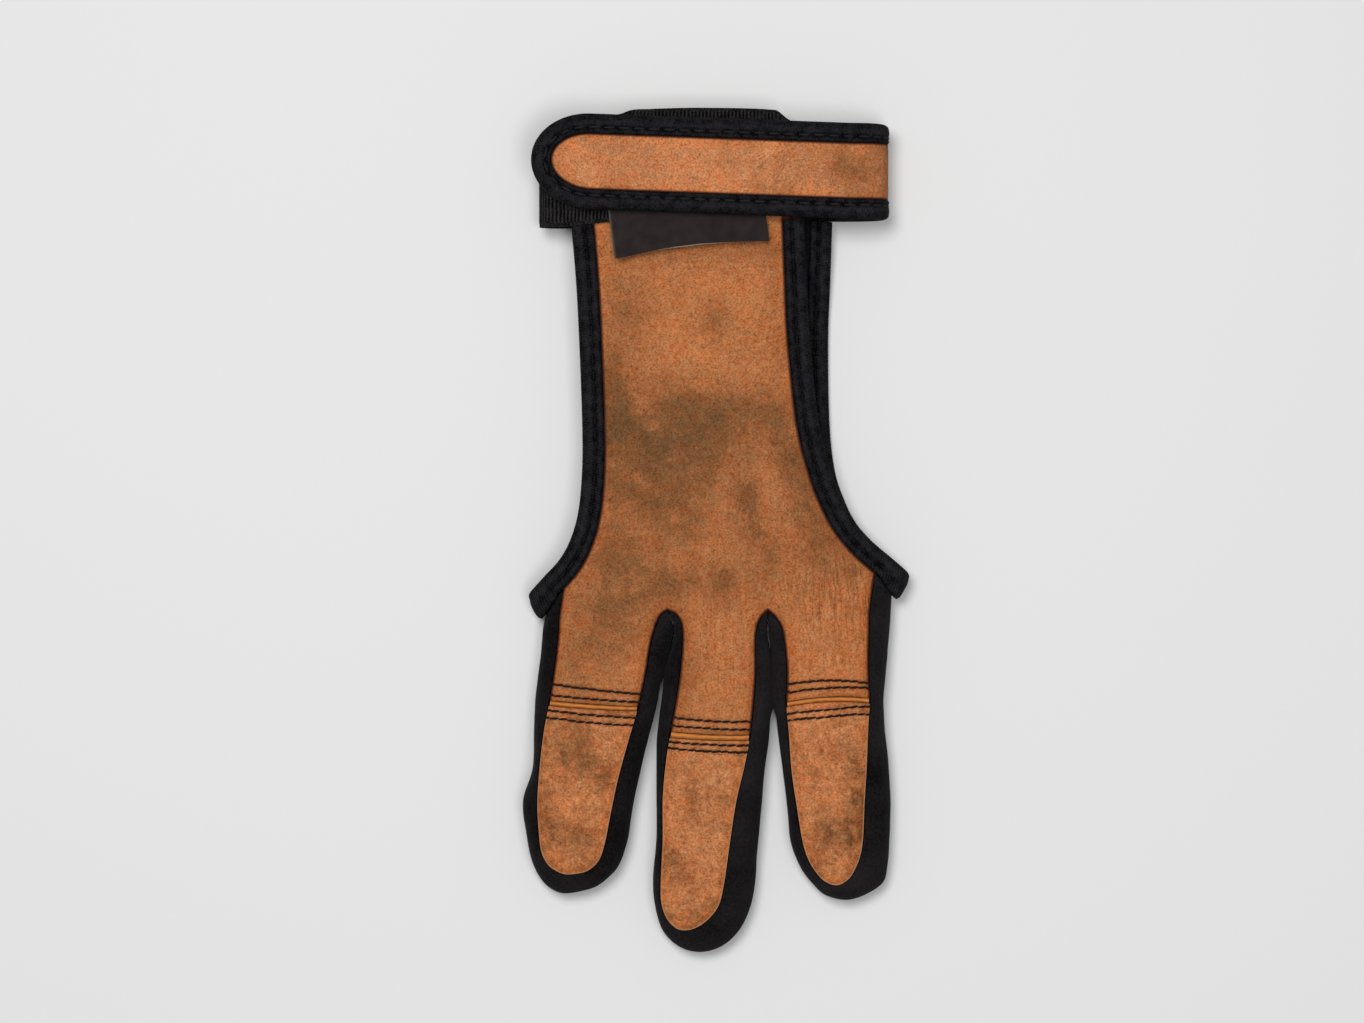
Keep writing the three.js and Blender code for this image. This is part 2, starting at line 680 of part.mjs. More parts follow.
function strapBinding() {
  const profile = channel(LEATHER, STRAP_BINDING);
  const edge = (facing) => strapPlaces().map((place) => ({
    origin: new THREE.Vector3(place.x, placeCentre(place) + facing * STRAP_HALF, place.z),
    across: flat(0, facing),
    up: place.normal,
    profile,
  }));
  const end = steps(-90, 90, 14).slice(1, -1).map(degToRad).map((angle) => {
    const x = END_START - END_LENGTH * Math.cos(angle);
    const y = strapCentre(x) + STRAP_HALF * Math.sin(angle);
    return {
      origin: new THREE.Vector3(x, y, STRAP_FRONT),
      across: flat(-Math.cos(angle) / END_LENGTH, Math.sin(angle) / STRAP_HALF).normalize(),
      up: UP,
      profile,
    };
  });
  return sweep([...edge(-1).toReversed(), ...end, ...edge(1)]);
}

// The label is sewn in under the strap, and its free end lifts off the leather
function label() {
  const across = steps(-0.5, 0.5, 8);
  const grid = [-LABEL_TUCKED / LABEL_DROP, 0, 0.35, 0.7, 1].map((down) =>
    across.map((share) => {
      const drop = column(LABEL_EDGE, "drop")(rowAt(LABEL_EDGE, "across", share));
      const fall = down * LABEL_DROP * (down > 0 ? drop : 1);
      const x = share * LABEL_WIDTH - LABEL_OFFSET + LABEL_LEAN * fall;
      const y = strapLow(x) - fall;
      const z = LABEL_MIDDLE + LABEL_CURL * Math.max(0, down) ** 2;
      return [new THREE.Vector3(x, y, z + LABEL / 2), new THREE.Vector3(x, y, z - LABEL / 2)];
    }),
  );
  return sheet(grid);
}

const glove = new THREE.Group();

function add(name, geometry, color, roughness, place = flat(0, 0)) {
  geometry.computeVertexNormals();
  const mesh = new THREE.Mesh(geometry, new THREE.MeshStandardMaterial({ color, roughness }));
  mesh.name = name;
  mesh.position.copy(place);
  glove.add(mesh);
}

const TAN = 0xb97a4b;
const AMBER = 0xb0741f;
const BLACK = 0x1b1a1c;

const gussetEnds = ends(GAP / 2);
add("palm_panel", palmPanel(), TAN, 0.75);
add("back_panel", backPanel(), BLACK, 0.9);
FINGERS.forEach((finger, i) => {
  add(`tip_pad_${finger.name}`, tipPad(finger), TAN, 0.75);
  add(`joint_strip_${finger.name}`, jointStrip(finger), AMBER, 0.8);
  add(`gusset_${finger.name}`, gusset(finger, gussetEnds[2 * i], gussetEnds[2 * i + 1]), BLACK, 0.9);
});
add("heel_binding", openingBinding("left"), BLACK, 0.85);
add("thumb_binding", openingBinding("right"), BLACK, 0.85);
add("wrist_web", wristWeb(), BLACK, 0.85);
add("strap_leather", strapLeather(), TAN, 0.75);
add("strap_binding", strapBinding(), BLACK, 0.85);
add("label", label(), BLACK, 0.9);

// The hook patch is hidden between the strap and the webbing, inside the strap's binding
const hookX = STRAP_BINDING + HOOK_INSET + HOOK_LENGTH / 2 - STRAP_TIP;
const hookLow = WEB_FRONT + WEBBING / 2 + GAP;
const hookHigh = STRAP_FRONT - LEATHER / 2 - GAP;
const hookPlace = new THREE.Vector3(hookX, strapCentre(hookX), (hookLow + hookHigh) / 2);
const hook = new THREE.BoxGeometry(HOOK_LENGTH, HOOK_WIDTH, hookHigh - hookLow);
add("hook_patch", hook, BLACK, 0.95, hookPlace);

// The part's own frame has its origin at the middle of the surface that it lies on
const box = new THREE.Box3().setFromObject(glove);
glove.position.set(-(box.min.x + box.max.x) / 2, -(box.min.y + box.max.y) / 2, -box.min.z);

export default glove;
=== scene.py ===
from types import SimpleNamespace

import bpy
import numpy as np
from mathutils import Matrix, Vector, noise
from mathutils.kdtree import KDTree


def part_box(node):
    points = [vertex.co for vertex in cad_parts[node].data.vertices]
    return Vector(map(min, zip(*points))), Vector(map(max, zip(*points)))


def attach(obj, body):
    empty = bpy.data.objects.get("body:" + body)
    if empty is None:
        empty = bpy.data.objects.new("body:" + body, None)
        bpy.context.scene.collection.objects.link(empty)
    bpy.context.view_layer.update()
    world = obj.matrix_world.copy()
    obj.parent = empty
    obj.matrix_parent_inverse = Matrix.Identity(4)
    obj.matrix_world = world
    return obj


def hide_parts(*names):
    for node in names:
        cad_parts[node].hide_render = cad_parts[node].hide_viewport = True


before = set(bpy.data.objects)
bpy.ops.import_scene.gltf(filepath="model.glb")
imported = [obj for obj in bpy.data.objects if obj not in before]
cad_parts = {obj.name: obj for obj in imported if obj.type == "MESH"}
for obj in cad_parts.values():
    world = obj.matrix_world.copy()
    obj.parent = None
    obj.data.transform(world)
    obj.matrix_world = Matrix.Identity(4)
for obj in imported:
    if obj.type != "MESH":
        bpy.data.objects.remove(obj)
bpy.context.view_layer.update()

# The palm leather: one piece of waxed nubuck over the hand and the first segment of the three
# fingers, tan with olive clouding. It is sewn to the black gussets along the fingers, and tape
# is folded over its edges at both hand openings. Lengths are in millimetres.
LEATHER = 1.3
GAP = 0.3
TAPE = 1.0
TAPE_FOLD = TAPE + GAP
BINDING_WIDTH = 5.8
FINGER_WIDTH = 28
FINGER_HEIGHT = 13
FINGER_CROWN = 2.2
KNUCKLE_WIDTH = 3 * FINGER_WIDTH
HAND_LENGTH = 130.5
PALM_HEIGHT = 13.4
PALM_CROWN = 1.3
PALM_SAG = 0.6
KNUCKLE_RUN = 20
WRIST_RUN = 26
WRIST_HEM = 3.8
WRIST_ROOM = 5
STRETCH = 1.2
CORNER_REACH = 6.2
GUSSET_TUCK = 0.5
JOINT_SLOT = 1.5
WEB_END = 18.7
WEB_WIDTH = 29
WEB_LOWEST = 1.065  # the webbing's lower edge at its fold, as a share of its width
STRAP_WIDTH = 24.9
STRAP_SKEW = 0.036
STRAP_BELOW_TOP = 15.35
STRAP_FOLD = 44.5
STRAP_CHANNEL = LEATHER + 2 * TAPE_FOLD
WEBBING = 1.2
LABEL = 1.0
BACK_AT_WRIST = STRAP_CHANNEL + GAP
WRIST_TOP = BACK_AT_WRIST + STRETCH + WRIST_ROOM + LEATHER
WEB_FRONT = WRIST_TOP + GAP + WEBBING / 2
LABEL_MIDDLE = WEB_FRONT + WEBBING / 2 + GAP + LABEL / 2
STRAP_FRONT = LABEL_MIDDLE + LABEL / 2 + GAP + STRAP_CHANNEL / 2
STRAP_BACK = STRAP_CHANNEL / 2
STRAP_RADIUS = (STRAP_FRONT - STRAP_BACK) / 2
STRAP_TURN = STRAP_FOLD - STRAP_RADIUS - STRAP_CHANNEL / 2
WEB_LOW = HAND_LENGTH - WEB_LOWEST * WEB_WIDTH
FINE = 0.45  # size of the leather's faces on the fingers
COARSE = 0.7  # and on the hand
SEAM_DROP = 0.9  # how far the leather is rolled in at its seams, and how wide
SEAM_ROLL = 1.1
SLOT_DROP = 0.4  # the same at each joint
SLOT_ROLL = 0.6
ROW_SUNK = 0.4  # how far each row of stitches sinks in, and how wide
ROW_WIDE = 0.45
WELT = 0.45  # the swelling beside each joint: how high, how far from the edge, how wide
WELT_PLACE = 1.0
WELT_WIDE = 0.7
CREASE = 0.2
HEM_FLAT = (12, 4)  # how far before the webbing the layers begin to lie flat, and lie flat
SEAM_STEP = 0.2


def table(columns, *rows):
    """Columns of numbers by name."""
    return {name: np.array(values, float) for name, values in zip(columns.split(), zip(*rows))}


# The finished edges of both hand openings from the finger's corner to the wrist closure
RIMS = table(
    "left_along left_front left_back right_along right_front right_back",
    [0.093, -0.533, -0.533, 0.138, 0.532, 0.532],
    [0.131, -0.492, -0.492, 0.179, 0.474, 0.474],
    [0.183, -0.458, -0.457, 0.23, 0.421, 0.426],
    [0.257, -0.433, -0.429, 0.288, 0.383, 0.392],
    [0.367, -0.421, -0.413, 0.362, 0.349, 0.364],
    [0.497, -0.421, -0.406, 0.485, 0.312, 0.348],
    [0.707, -0.43, -0.402, 0.689, 0.285, 0.344],
    [0.864, -0.44, -0.402, 0.842, 0.276, 0.35],
    [1, -0.454, -0.402, 1, 0.269, 0.356],
)
WRIST_EDGES = table(
    "along left_front left_back right_front right_back",
    [0.45, -0.43, -0.385, 0.256, 0.335],
    [1, -0.37, -0.36, 0.215, 0.3],
)
# Where two fingers part, down to where their gussets touch, and how far each is pressed out
CROTCHES = table(
    "x depth lean shut pressed", [-0.156, 0.13, 22, -18.7, 0.8], [0.155, 0.14, 0, -26.8, 1.15]
)


def side(*rows):
    """One side of a finger: the leather's edge and the gusset's outermost line, base to tip."""
    return table("face_along face rim_along rim", *rows)


RING = SimpleNamespace(
    name="ring", base=-0.339, lean=-8, length=75, joint=(0.348, 0.325), bow=0.2,
    left=side(
        [0.05, -0.443, 0.09, -0.58], [0.1, -0.43, 0.14, -0.575], [0.2, -0.42, 0.22, -0.568],
        [0.335, -0.424, 0.335, -0.562], [0.45, -0.438, 0.45, -0.535], [0.58, -0.43, 0.58, -0.498],
        [0.7, -0.405, 0.7, -0.543], [0.8, -0.353, 0.8, -0.48], [0.865, -0.305, 0.885, -0.405],
        [0.905, -0.23, 0.95, -0.305], [0.922, -0.15, 0.985, -0.2], [0.93, -0.06, 1, -0.06],
    ),
    right=side(
        [0.0, 0.473, 0.055, 0.609], [0.09, 0.43, 0.12, 0.594], [0.2, 0.422, 0.22, 0.576],
        [0.335, 0.392, 0.335, 0.563], [0.45, 0.348, 0.45, 0.525], [0.58, 0.305, 0.58, 0.495],
        [0.7, 0.283, 0.7, 0.478], [0.8, 0.268, 0.8, 0.468], [0.865, 0.235, 0.885, 0.415],
        [0.905, 0.15, 0.95, 0.28], [0.922, 0.05, 0.985, 0.11], [0.93, -0.06, 1, -0.06],
    ),
)
MIDDLE = SimpleNamespace(
    name="middle", base=0.0093, lean=-3.6, length=88.8, joint=(0.3715, 0.366), bow=0.3,
    left=side(
        [0.025, -0.4, 0.082, -0.418], [0.07, -0.342, 0.12, -0.432], [0.2, -0.341, 0.22, -0.485],
        [0.367, -0.395, 0.367, -0.518], [0.45, -0.42, 0.45, -0.512], [0.56, -0.43, 0.56, -0.49],
        [0.68, -0.407, 0.68, -0.466], [0.8, -0.4, 0.8, -0.474], [0.865, -0.385, 0.88, -0.44],
        [0.91, -0.33, 0.951, -0.355], [0.937, -0.25, 0.994, -0.21], [0.945, -0.165, 1.01, -0.03],
    ),
    right=side(
        [0.018, 0.367, 0.079, 0.449], [0.07, 0.335, 0.12, 0.474], [0.2, 0.357, 0.22, 0.515],
        [0.367, 0.34, 0.367, 0.525], [0.45, 0.31, 0.45, 0.503], [0.56, 0.252, 0.56, 0.495],
        [0.68, 0.218, 0.68, 0.483], [0.8, 0.188, 0.8, 0.478], [0.865, 0.15, 0.88, 0.438],
        [0.91, 0.055, 0.951, 0.33], [0.937, -0.06, 0.994, 0.17], [0.945, -0.165, 1.01, -0.03],
    ),
)
INDEX = SimpleNamespace(
    name="index", base=0.339, lean=2.9, length=75, joint=(0.32, 0.322), bow=-0.9,
    left=side(
        [0.02, -0.475, 0.094, -0.536], [0.07, -0.42, 0.15, -0.528], [0.2, -0.4, 0.22, -0.524],
        [0.319, -0.424, 0.319, -0.525], [0.42, -0.415, 0.42, -0.515], [0.55, -0.408, 0.55, -0.488],
        [0.68, -0.375, 0.68, -0.463], [0.8, -0.338, 0.8, -0.446], [0.87, -0.285, 0.89, -0.37],
        [0.925, -0.195, 0.957, -0.25], [0.948, -0.12, 0.996, -0.13], [0.957, -0.04, 1.013, 0.05],
    ),
    right=side(
        [0.0, 0.395, 0.03, 0.59], [0.07, 0.378, 0.1, 0.566], [0.2, 0.353, 0.22, 0.522],
        [0.319, 0.35, 0.319, 0.487], [0.42, 0.322, 0.42, 0.482], [0.55, 0.29, 0.55, 0.502],
        [0.68, 0.252, 0.68, 0.5], [0.8, 0.222, 0.8, 0.476], [0.87, 0.178, 0.89, 0.45],
        [0.925, 0.1, 0.957, 0.395], [0.948, 0.03, 0.996, 0.24], [0.957, -0.04, 1.013, 0.05],
    ),
)
FINGERS = [RING, MIDDLE, INDEX]
FINGER_PROFILE = table("along height", [0, 0.96], [0.3, 1], [0.6, 0.99], [0.85, 0.92], [1, 0.76])
TIP = len(RING.left["face"])  # place of the fingertip on a finger's seam, counted from its start
LAST = 2 * TIP  # and of the seam's end

# Olive clouds in the leather's dye, and one painted shadow under the label's edge: middle across and
# along, size across and along, how strong
STAINS = table(
    "x y wide long depth",
    [-18, 48, 12, 10, 0.48],
    [-28, 45, 6, 14, 0.34],
    [-10, 50, 16, 8, 0.26],
    [-14, 37, 11, 10, 0.44],
    [4, 50, 12, 8, 0.32],
    [15, 52, 8, 6, 0.26],
    [20, 40, 5, 12, 0.34],
    [23, 30, 6, 15, 0.5],
    [33, 15, 7, 7, 0.46],
    [9, 25, 3.5, 10, 0.5],
    [13, 17, 3, 6, 0.25],
    [-14, 25, 14, 8, 0.36],
    [-4, 34, 34, 28, 0.26],
    [-30, 16, 9, 9, 0.3],
    [-31, 4, 12, 10, 0.28],
    [-14, 8, 17, 7, 0.3],
    [3, 9, 10, 6, 0.24],
    [23, 16, 7, 6, 0.2],
    [-31, -10, 10, 12, 0.34],
    [-38, -16, 4, 10, 0.28],
    [-26, -23, 6, 7, 0.2],
    [-8, -15, 5, 14, 0.34],
    [-28, 62, 5, 24, 0.34],
    [-20, 84, 6, 8, 0.34],
    [-23, 73, 5, 7, 0.3],
    [0, 75, 4, 6, 0.42],
    [15, 84, 4, 16, 0.22],
    # painted shadow under the label's edge, not dye
    [-3, 94, 24, 4, 0.3],
    [-37, -37, 6, 5, 0.5],
    [-29, -44, 4, 5, 0.25],
    [-38, -58, 6, 5, 0.32],
    [-45, -52, 3, 10, 0.28],
    [-5, -48, 5, 4, 0.16],
    [-11, -66, 5, 5, 0.34],
    [-3, -81, 8, 4, 0.25],
    [37, -46, 4, 14, 0.42],
    [32, -58, 8, 5, 0.45],
)


def smooth(values, r):
    """A smooth line through rows of values, read at row number r."""
    values = np.asarray(values, float)
    r = np.asarray(r, float)
    last = len(values) - 1
    i = np.clip(np.floor(r).astype(int), 0, last - 1)
    f = r - i
    if values.ndim > 1:
        f = f[..., None]
    a, b, c, d = (values[np.clip(i + step, 0, last)] for step in (-1, 0, 1, 2))
    return b + 0.5 * f * (c - a + f * (2 * a - 5 * b + 4 * c - d + f * (3 * (b - c) + d - a)))


def read_at(columns, name, value):
    """A column of a table as a smooth line, read where the table's first column has that value."""
    first = next(iter(columns.values()))
    return smooth(columns[name], np.interp(value, first, range(len(first))))


def bell(distance, width):
    """1 at no distance, falling to 0 past that width."""
    return np.exp(-((distance / width) ** 2))


def ramp_up(value, start, end):
    """0 before start, 1 after end, and a soft rise between them."""
    share = np.clip((value - start) / (end - start), 0, 1)
    return share * share * (3 - 2 * share)


def unit(vectors):
    return vectors / np.linalg.norm(vectors, axis=-1, keepdims=True)


def chord(a, b, shares):
    """Points along straight lines from a to b."""
    shares = np.asarray(shares)[:, None]
    return a[..., None, :] * (1 - shares) + b[..., None, :] * shares


def run_of(points):
    """Distance along a line of points."""
    steps = np.linalg.norm(np.diff(points, axis=0), axis=1)
    return np.concatenate([[0], np.cumsum(steps)])


def evenly(path, first, last, pitch):
    """Places along a path from first to last, about pitch apart."""
    fine = np.linspace(first, last, 800)
    run = run_of(smooth(path, fine))
    count = max(2, int(round(run[-1] / pitch)))
    return np.interp(np.linspace(0, run[-1], count + 1), run, fine)


def resampled(values, count):
    """The same run of numbers in another number of steps."""
    return np.interp(np.linspace(0, 1, count), np.linspace(0, 1, len(values)), values)


for finger in FINGERS:
    angle = np.radians(finger.lean)
    finger.across = np.array([np.cos(angle), np.sin(angle)])
    finger.along = np.array([np.sin(angle), -np.cos(angle)])
    finger.root = np.array([finger.base * KNUCKLE_WIDTH, 0])
    for edge in ("face", "rim"):
        for hand, rows in (("left", finger.left), ("right", finger.right)):
            points = finger.root + np.outer(rows[edge] * FINGER_WIDTH, finger.across)
            points = points + np.outer(rows[edge + "_along"] * finger.length, finger.along)
            setattr(finger, f"{edge}_{hand}", points)


def strap_centre(x):
    return HAND_LENGTH - STRAP_BELOW_TOP - STRAP_SKEW * x


TUCKED = {"left": 0.06, "right": 0.2}  # how far each front tape runs on under the closure, in rows


def opening(hand, turn):
    """A hand opening's finished edges on both faces, and what lies at its corner."""
    run = WEB_LOW if hand == "left" else strap_centre(STRAP_TURN) - STRAP_WIDTH / 2
    run = run - GAP
    made = SimpleNamespace(turn=turn, tucked=TUCKED[hand])
    for face in ("front", "back"):
        rim = [RIMS[f"{hand}_{face}"] * KNUCKLE_WIDTH, RIMS[f"{hand}_along"] * run]
        beyond = [
            WRIST_EDGES[f"{hand}_{face}"] * KNUCKLE_WIDTH,
            run + (HAND_LENGTH - WRIST_HEM - run) * WRIST_EDGES["along"],
        ]
        setattr(made, face, np.stack(rim, 1))
        setattr(made, f"{face}_beyond", np.stack(beyond, 1))
    point, heading, into = rim_place(made, "front", 0)
    made.corner = point + into * (BINDING_WIDTH + GAP)
    made.toward = made.corner - heading * CORNER_REACH
    return made


def rim_place(gap, face, r):
    """A point of an opening's finished edge, its heading, and the way into the panel."""
    rim = getattr(gap, face)
    nearby = 0.01
    heading = unit(smooth(rim, r + nearby) - smooth(rim, r - nearby))
    into = gap.turn * np.stack([-heading[..., 1], heading[..., 0]], -1)
    return smooth(rim, r), heading, into


def cut_edge(gap, face, r):
    """The panel's cut edge, inside the fold of the tape."""
    point, _, into = rim_place(gap, face, r)
    return point + into * TAPE_FOLD


HEEL = opening("left", -1)
THUMB = opening("right", 1)


def seam_ends(shift):
    """Both ends of each finger's seam: at a hand opening's corner or where two fingers part."""
    found = [(HEEL.corner, HEEL.toward, 1)]
    for x, depth, lean in zip(CROTCHES["x"], CROTCHES["depth"], np.radians(CROTCHES["lean"])):
        fold = np.array([np.sin(lean), -np.cos(lean)])
        sideways = np.array([-fold[1], fold[0]])
        for hand in (-1, 1):
            apex = np.array([x * KNUCKLE_WIDTH, 0]) + sideways * hand * shift
            found.append((apex, apex + fold * depth * FINGER_WIDTH, GUSSET_TUCK))
    found.append((THUMB.corner, THUMB.toward, 1))
    return found


def seam_of(number, shift):
    """A finger's seam from its first end round the tip to its last, and its gusset's rim."""
    finger = FINGERS[number]
    first, last = seam_ends(shift)[2 * number : 2 * number + 2]
    seam = np.vstack([first[0], finger.face_left, finger.face_right[-2::-1], last[0]])
    rim = np.vstack([first[1], finger.rim_left, finger.rim_right[-2::-1], last[1]])
    tuck = np.concatenate([[first[2]], np.full(LAST - 1, GUSSET_TUCK), [last[2]]])
    return seam, rim, tuck


def joint_places(finger, distance):
    """Where a line across the finger, that far past its joint, meets the seam's two sides."""
    left, right = (
        np.interp(joint + distance / finger.length, edge["face_along"], range(TIP))
        for joint, edge in zip(finger.joint, (finger.left, finger.right))
    )
    return left + 1, LAST - 1 - right


def front_top(points):
    """Height of the leather's face at points of the front."""
    tops = []
    for finger in FINGERS:
        offset = points - finger.root
        height = read_at(FINGER_PROFILE, "height", offset @ finger.along / finger.length)
        crown = FINGER_CROWN * (2 * offset @ finger.across / FINGER_WIDTH) ** 2
        tops.append(FINGER_HEIGHT * height - crown)
    valley = 0.3  # how softly two fingers' crowns run into each other
    fingers = valley * np.log(sum(np.exp(top / valley) for top in tops))
    x, y = points[..., 0], points[..., 1]
    crown = PALM_CROWN * (2 * x / KNUCKLE_WIDTH) ** 2
    sag = PALM_SAG * np.sin(np.pi * np.clip(y / WEB_LOW, 0, 1))
    knuckles = ramp_up(y, 0, KNUCKLE_RUN)
    hand = fingers + (PALM_HEIGHT - crown - sag - fingers) * knuckles
    return hand + (WRIST_TOP - hand) * ramp_up(y, WEB_LOW - WRIST_RUN, WEB_LOW)


def ripple(points, wide, long, seed, turn=0):
    """Soft noise from about -1 to 1, with waves of that size across and along."""
    angle = np.radians(turn)
    x = points[..., 0] * np.cos(angle) + points[..., 1] * np.sin(angle)
    y = points[..., 1] * np.cos(angle) - points[..., 0] * np.sin(angle)
    pairs = zip((x / wide).ravel(), (y / long).ravel())
    waves = [noise.noise(Vector((a, b, seed))) for a, b in pairs]
    return np.reshape(waves, x.shape)


def distance_to(points, lines):
    """How far each point is from the nearest of some lines, in plan."""
    dots = np.vstack(lines)
    tree = KDTree(len(dots))
    for i, (x, y) in enumerate(dots):
        tree.insert((x, y, 0), i)
    tree.balance()
    flat = [tree.find((x, y, 0))[2] for x, y in points.reshape(-1, 2)]
    return np.reshape(flat, points.shape[:-1])


def raised(points, height):
    """Points of the plan at that height."""
    return np.concatenate([points, np.broadcast_to(height, points.shape[:-1])[..., None]], -1)


web_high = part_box("wrist_web")[1]
ORIGIN = np.array([web_high.x * 1000 - WEB_END, web_high.y * 1000 - HAND_LENGTH, 0])


def sheet(name, *grids):
    """A closed sheet of material from grids of outer and inner points, joined where they meet.

    A grid is (outer, inner, marks), and marks are numbers by name for the finish to read."""
    outer = np.concatenate([np.reshape(grid[0], (-1, 3)) for grid in grids])
    inner = np.concatenate([np.reshape(grid[1], (-1, 3)) for grid in grids])
    _, kept, corner = np.unique(np.round(outer, 3), axis=0, return_index=True, return_inverse=True)
    corner = corner.reshape(-1)
    quads = []
    start = 0
    for grid in grids:
        rows, columns = grid[0].shape[:2]
        numbers = start + np.arange(rows * columns).reshape(rows, columns)
        around = [numbers[:-1, :-1], numbers[:-1, 1:], numbers[1:, 1:], numbers[1:, :-1]]
        quads.append(np.stack(around, -1).reshape(-1, 4))
        start += rows * columns
    faces = [list(dict.fromkeys(face)) for face in corner[np.concatenate(quads)].tolist()]
    faces = [face for face in faces if len(face) > 2]
    edges = {pair for face in faces for pair in zip(face, face[1:] + face[:1])}
    under = len(kept)
    below = [[i + under for i in reversed(face)] for face in faces]
    walls = [[b, a, a + under, b + under] for a, b in edges if (b, a) not in edges]
    points = (np.concatenate([outer[kept], inner[kept]]) + ORIGIN) / 1000
    points[:, 2] = np.maximum(points[:, 2], 0)
    mesh = bpy.data.meshes.new(name)
    mesh.from_pydata(points.tolist(), [], faces + below + sorted(walls))
    mesh.update()
    mesh.calc_loop_triangles()
    corners = np.array([triangle.vertices for triangle in mesh.loop_triangles])
    a, b, c = (points[corners[:, i]] for i in range(3))
    if np.einsum("ij,ij->i", a, np.cross(b, c)).sum() < 0:
        mesh.flip_normals()
    mesh.shade_smooth()
    mesh.set_sharp_from_angle(angle=np.radians(55))
    for mark in grids[0][2]:
        values = np.concatenate([np.ravel(grid[2][mark]) for grid in grids])[kept]
        layer = mesh.attributes.new(mark, "FLOAT", "POINT")
        layer.data.foreach_set("value", np.concatenate([values, values]).astype(np.float32))
    piece = bpy.data.objects.new(name, mesh)
    bpy.context.scene.collection.objects.link(piece)
    return piece


def node(tree, kind, inputs=None, **settings):
    """A new node of a tree, with its settings and with values or links for its inputs."""
    made = tree.nodes.new(kind)
    for key, value in settings.items():
        setattr(made, key, value)
    for key, value in (inputs or {}).items():
        if isinstance(value, bpy.types.NodeSocket):
            tree.links.new(value, made.inputs[key])
        else:
            made.inputs[key].default_value = value
    return made


def blend(tree, share, a, b, kind="MIX"):
    """A mix of two colours."""
    made = node(tree, "ShaderNodeMix", {0: share, 6: a, 7: b}, data_type="RGBA", blend_type=kind)
    return made.outputs[2]


def sums(tree, operation, a, b=0.0, c=0.0):
    """One step of arithmetic on numbers."""
    return node(tree, "ShaderNodeMath", {0: a, 1: b, 2: c}, operation=operation).outputs[0]


def mark_of(tree, name):
    return node(tree, "ShaderNodeAttribute", attribute_name=name).outputs["Fac"]


def spread(tree, value, low, high, start=0.0, end=1.0):
    """A number moved from the range low to high into the range start to end."""
    inputs = {0: value, 1: low, 2: high, 3: start, 4: end}
    return node(tree, "ShaderNodeMapRange", inputs, clamp=True).outputs[0]


def product(tree, a, b):
    return sums(tree, "MULTIPLY", a, b)


def cloud(tree, place, scale, detail, rough=0.5):
    """Soft noise about 0.5."""
    inputs = {"Vector": place, "Scale": scale, "Detail": detail, "Roughness": rough}
    return node(tree, "ShaderNodeTexNoise", inputs).outputs["Fac"]


def finish(name, **sockets):
    """A new material, its node tree and its shader, with the shader's uniform values set."""
    material = bpy.data.materials.new(name)
    material.use_nodes = True
    tree = material.node_tree
    shader = tree.nodes["Principled BSDF"]
    for key, value in sockets.items():
        shader.inputs[key.replace("_", " ")].default_value = value
    return material, tree, shader


def place_in(tree):
    """Places on the object itself."""
    return node(tree, "ShaderNodeTexCoord").outputs["Object"]


def paint(tree, shader, colour, height, distance, strength=1.0):
    """Gives a shader its colour and a bump of that height."""
    inputs = {"Height": height, "Distance": distance, "Strength": strength}
    bump = node(tree, "ShaderNodeBump", inputs).outputs[0]
    tree.links.new(colour, shader.inputs["Base Color"])
    tree.links.new(bump, shader.inputs["Normal"])


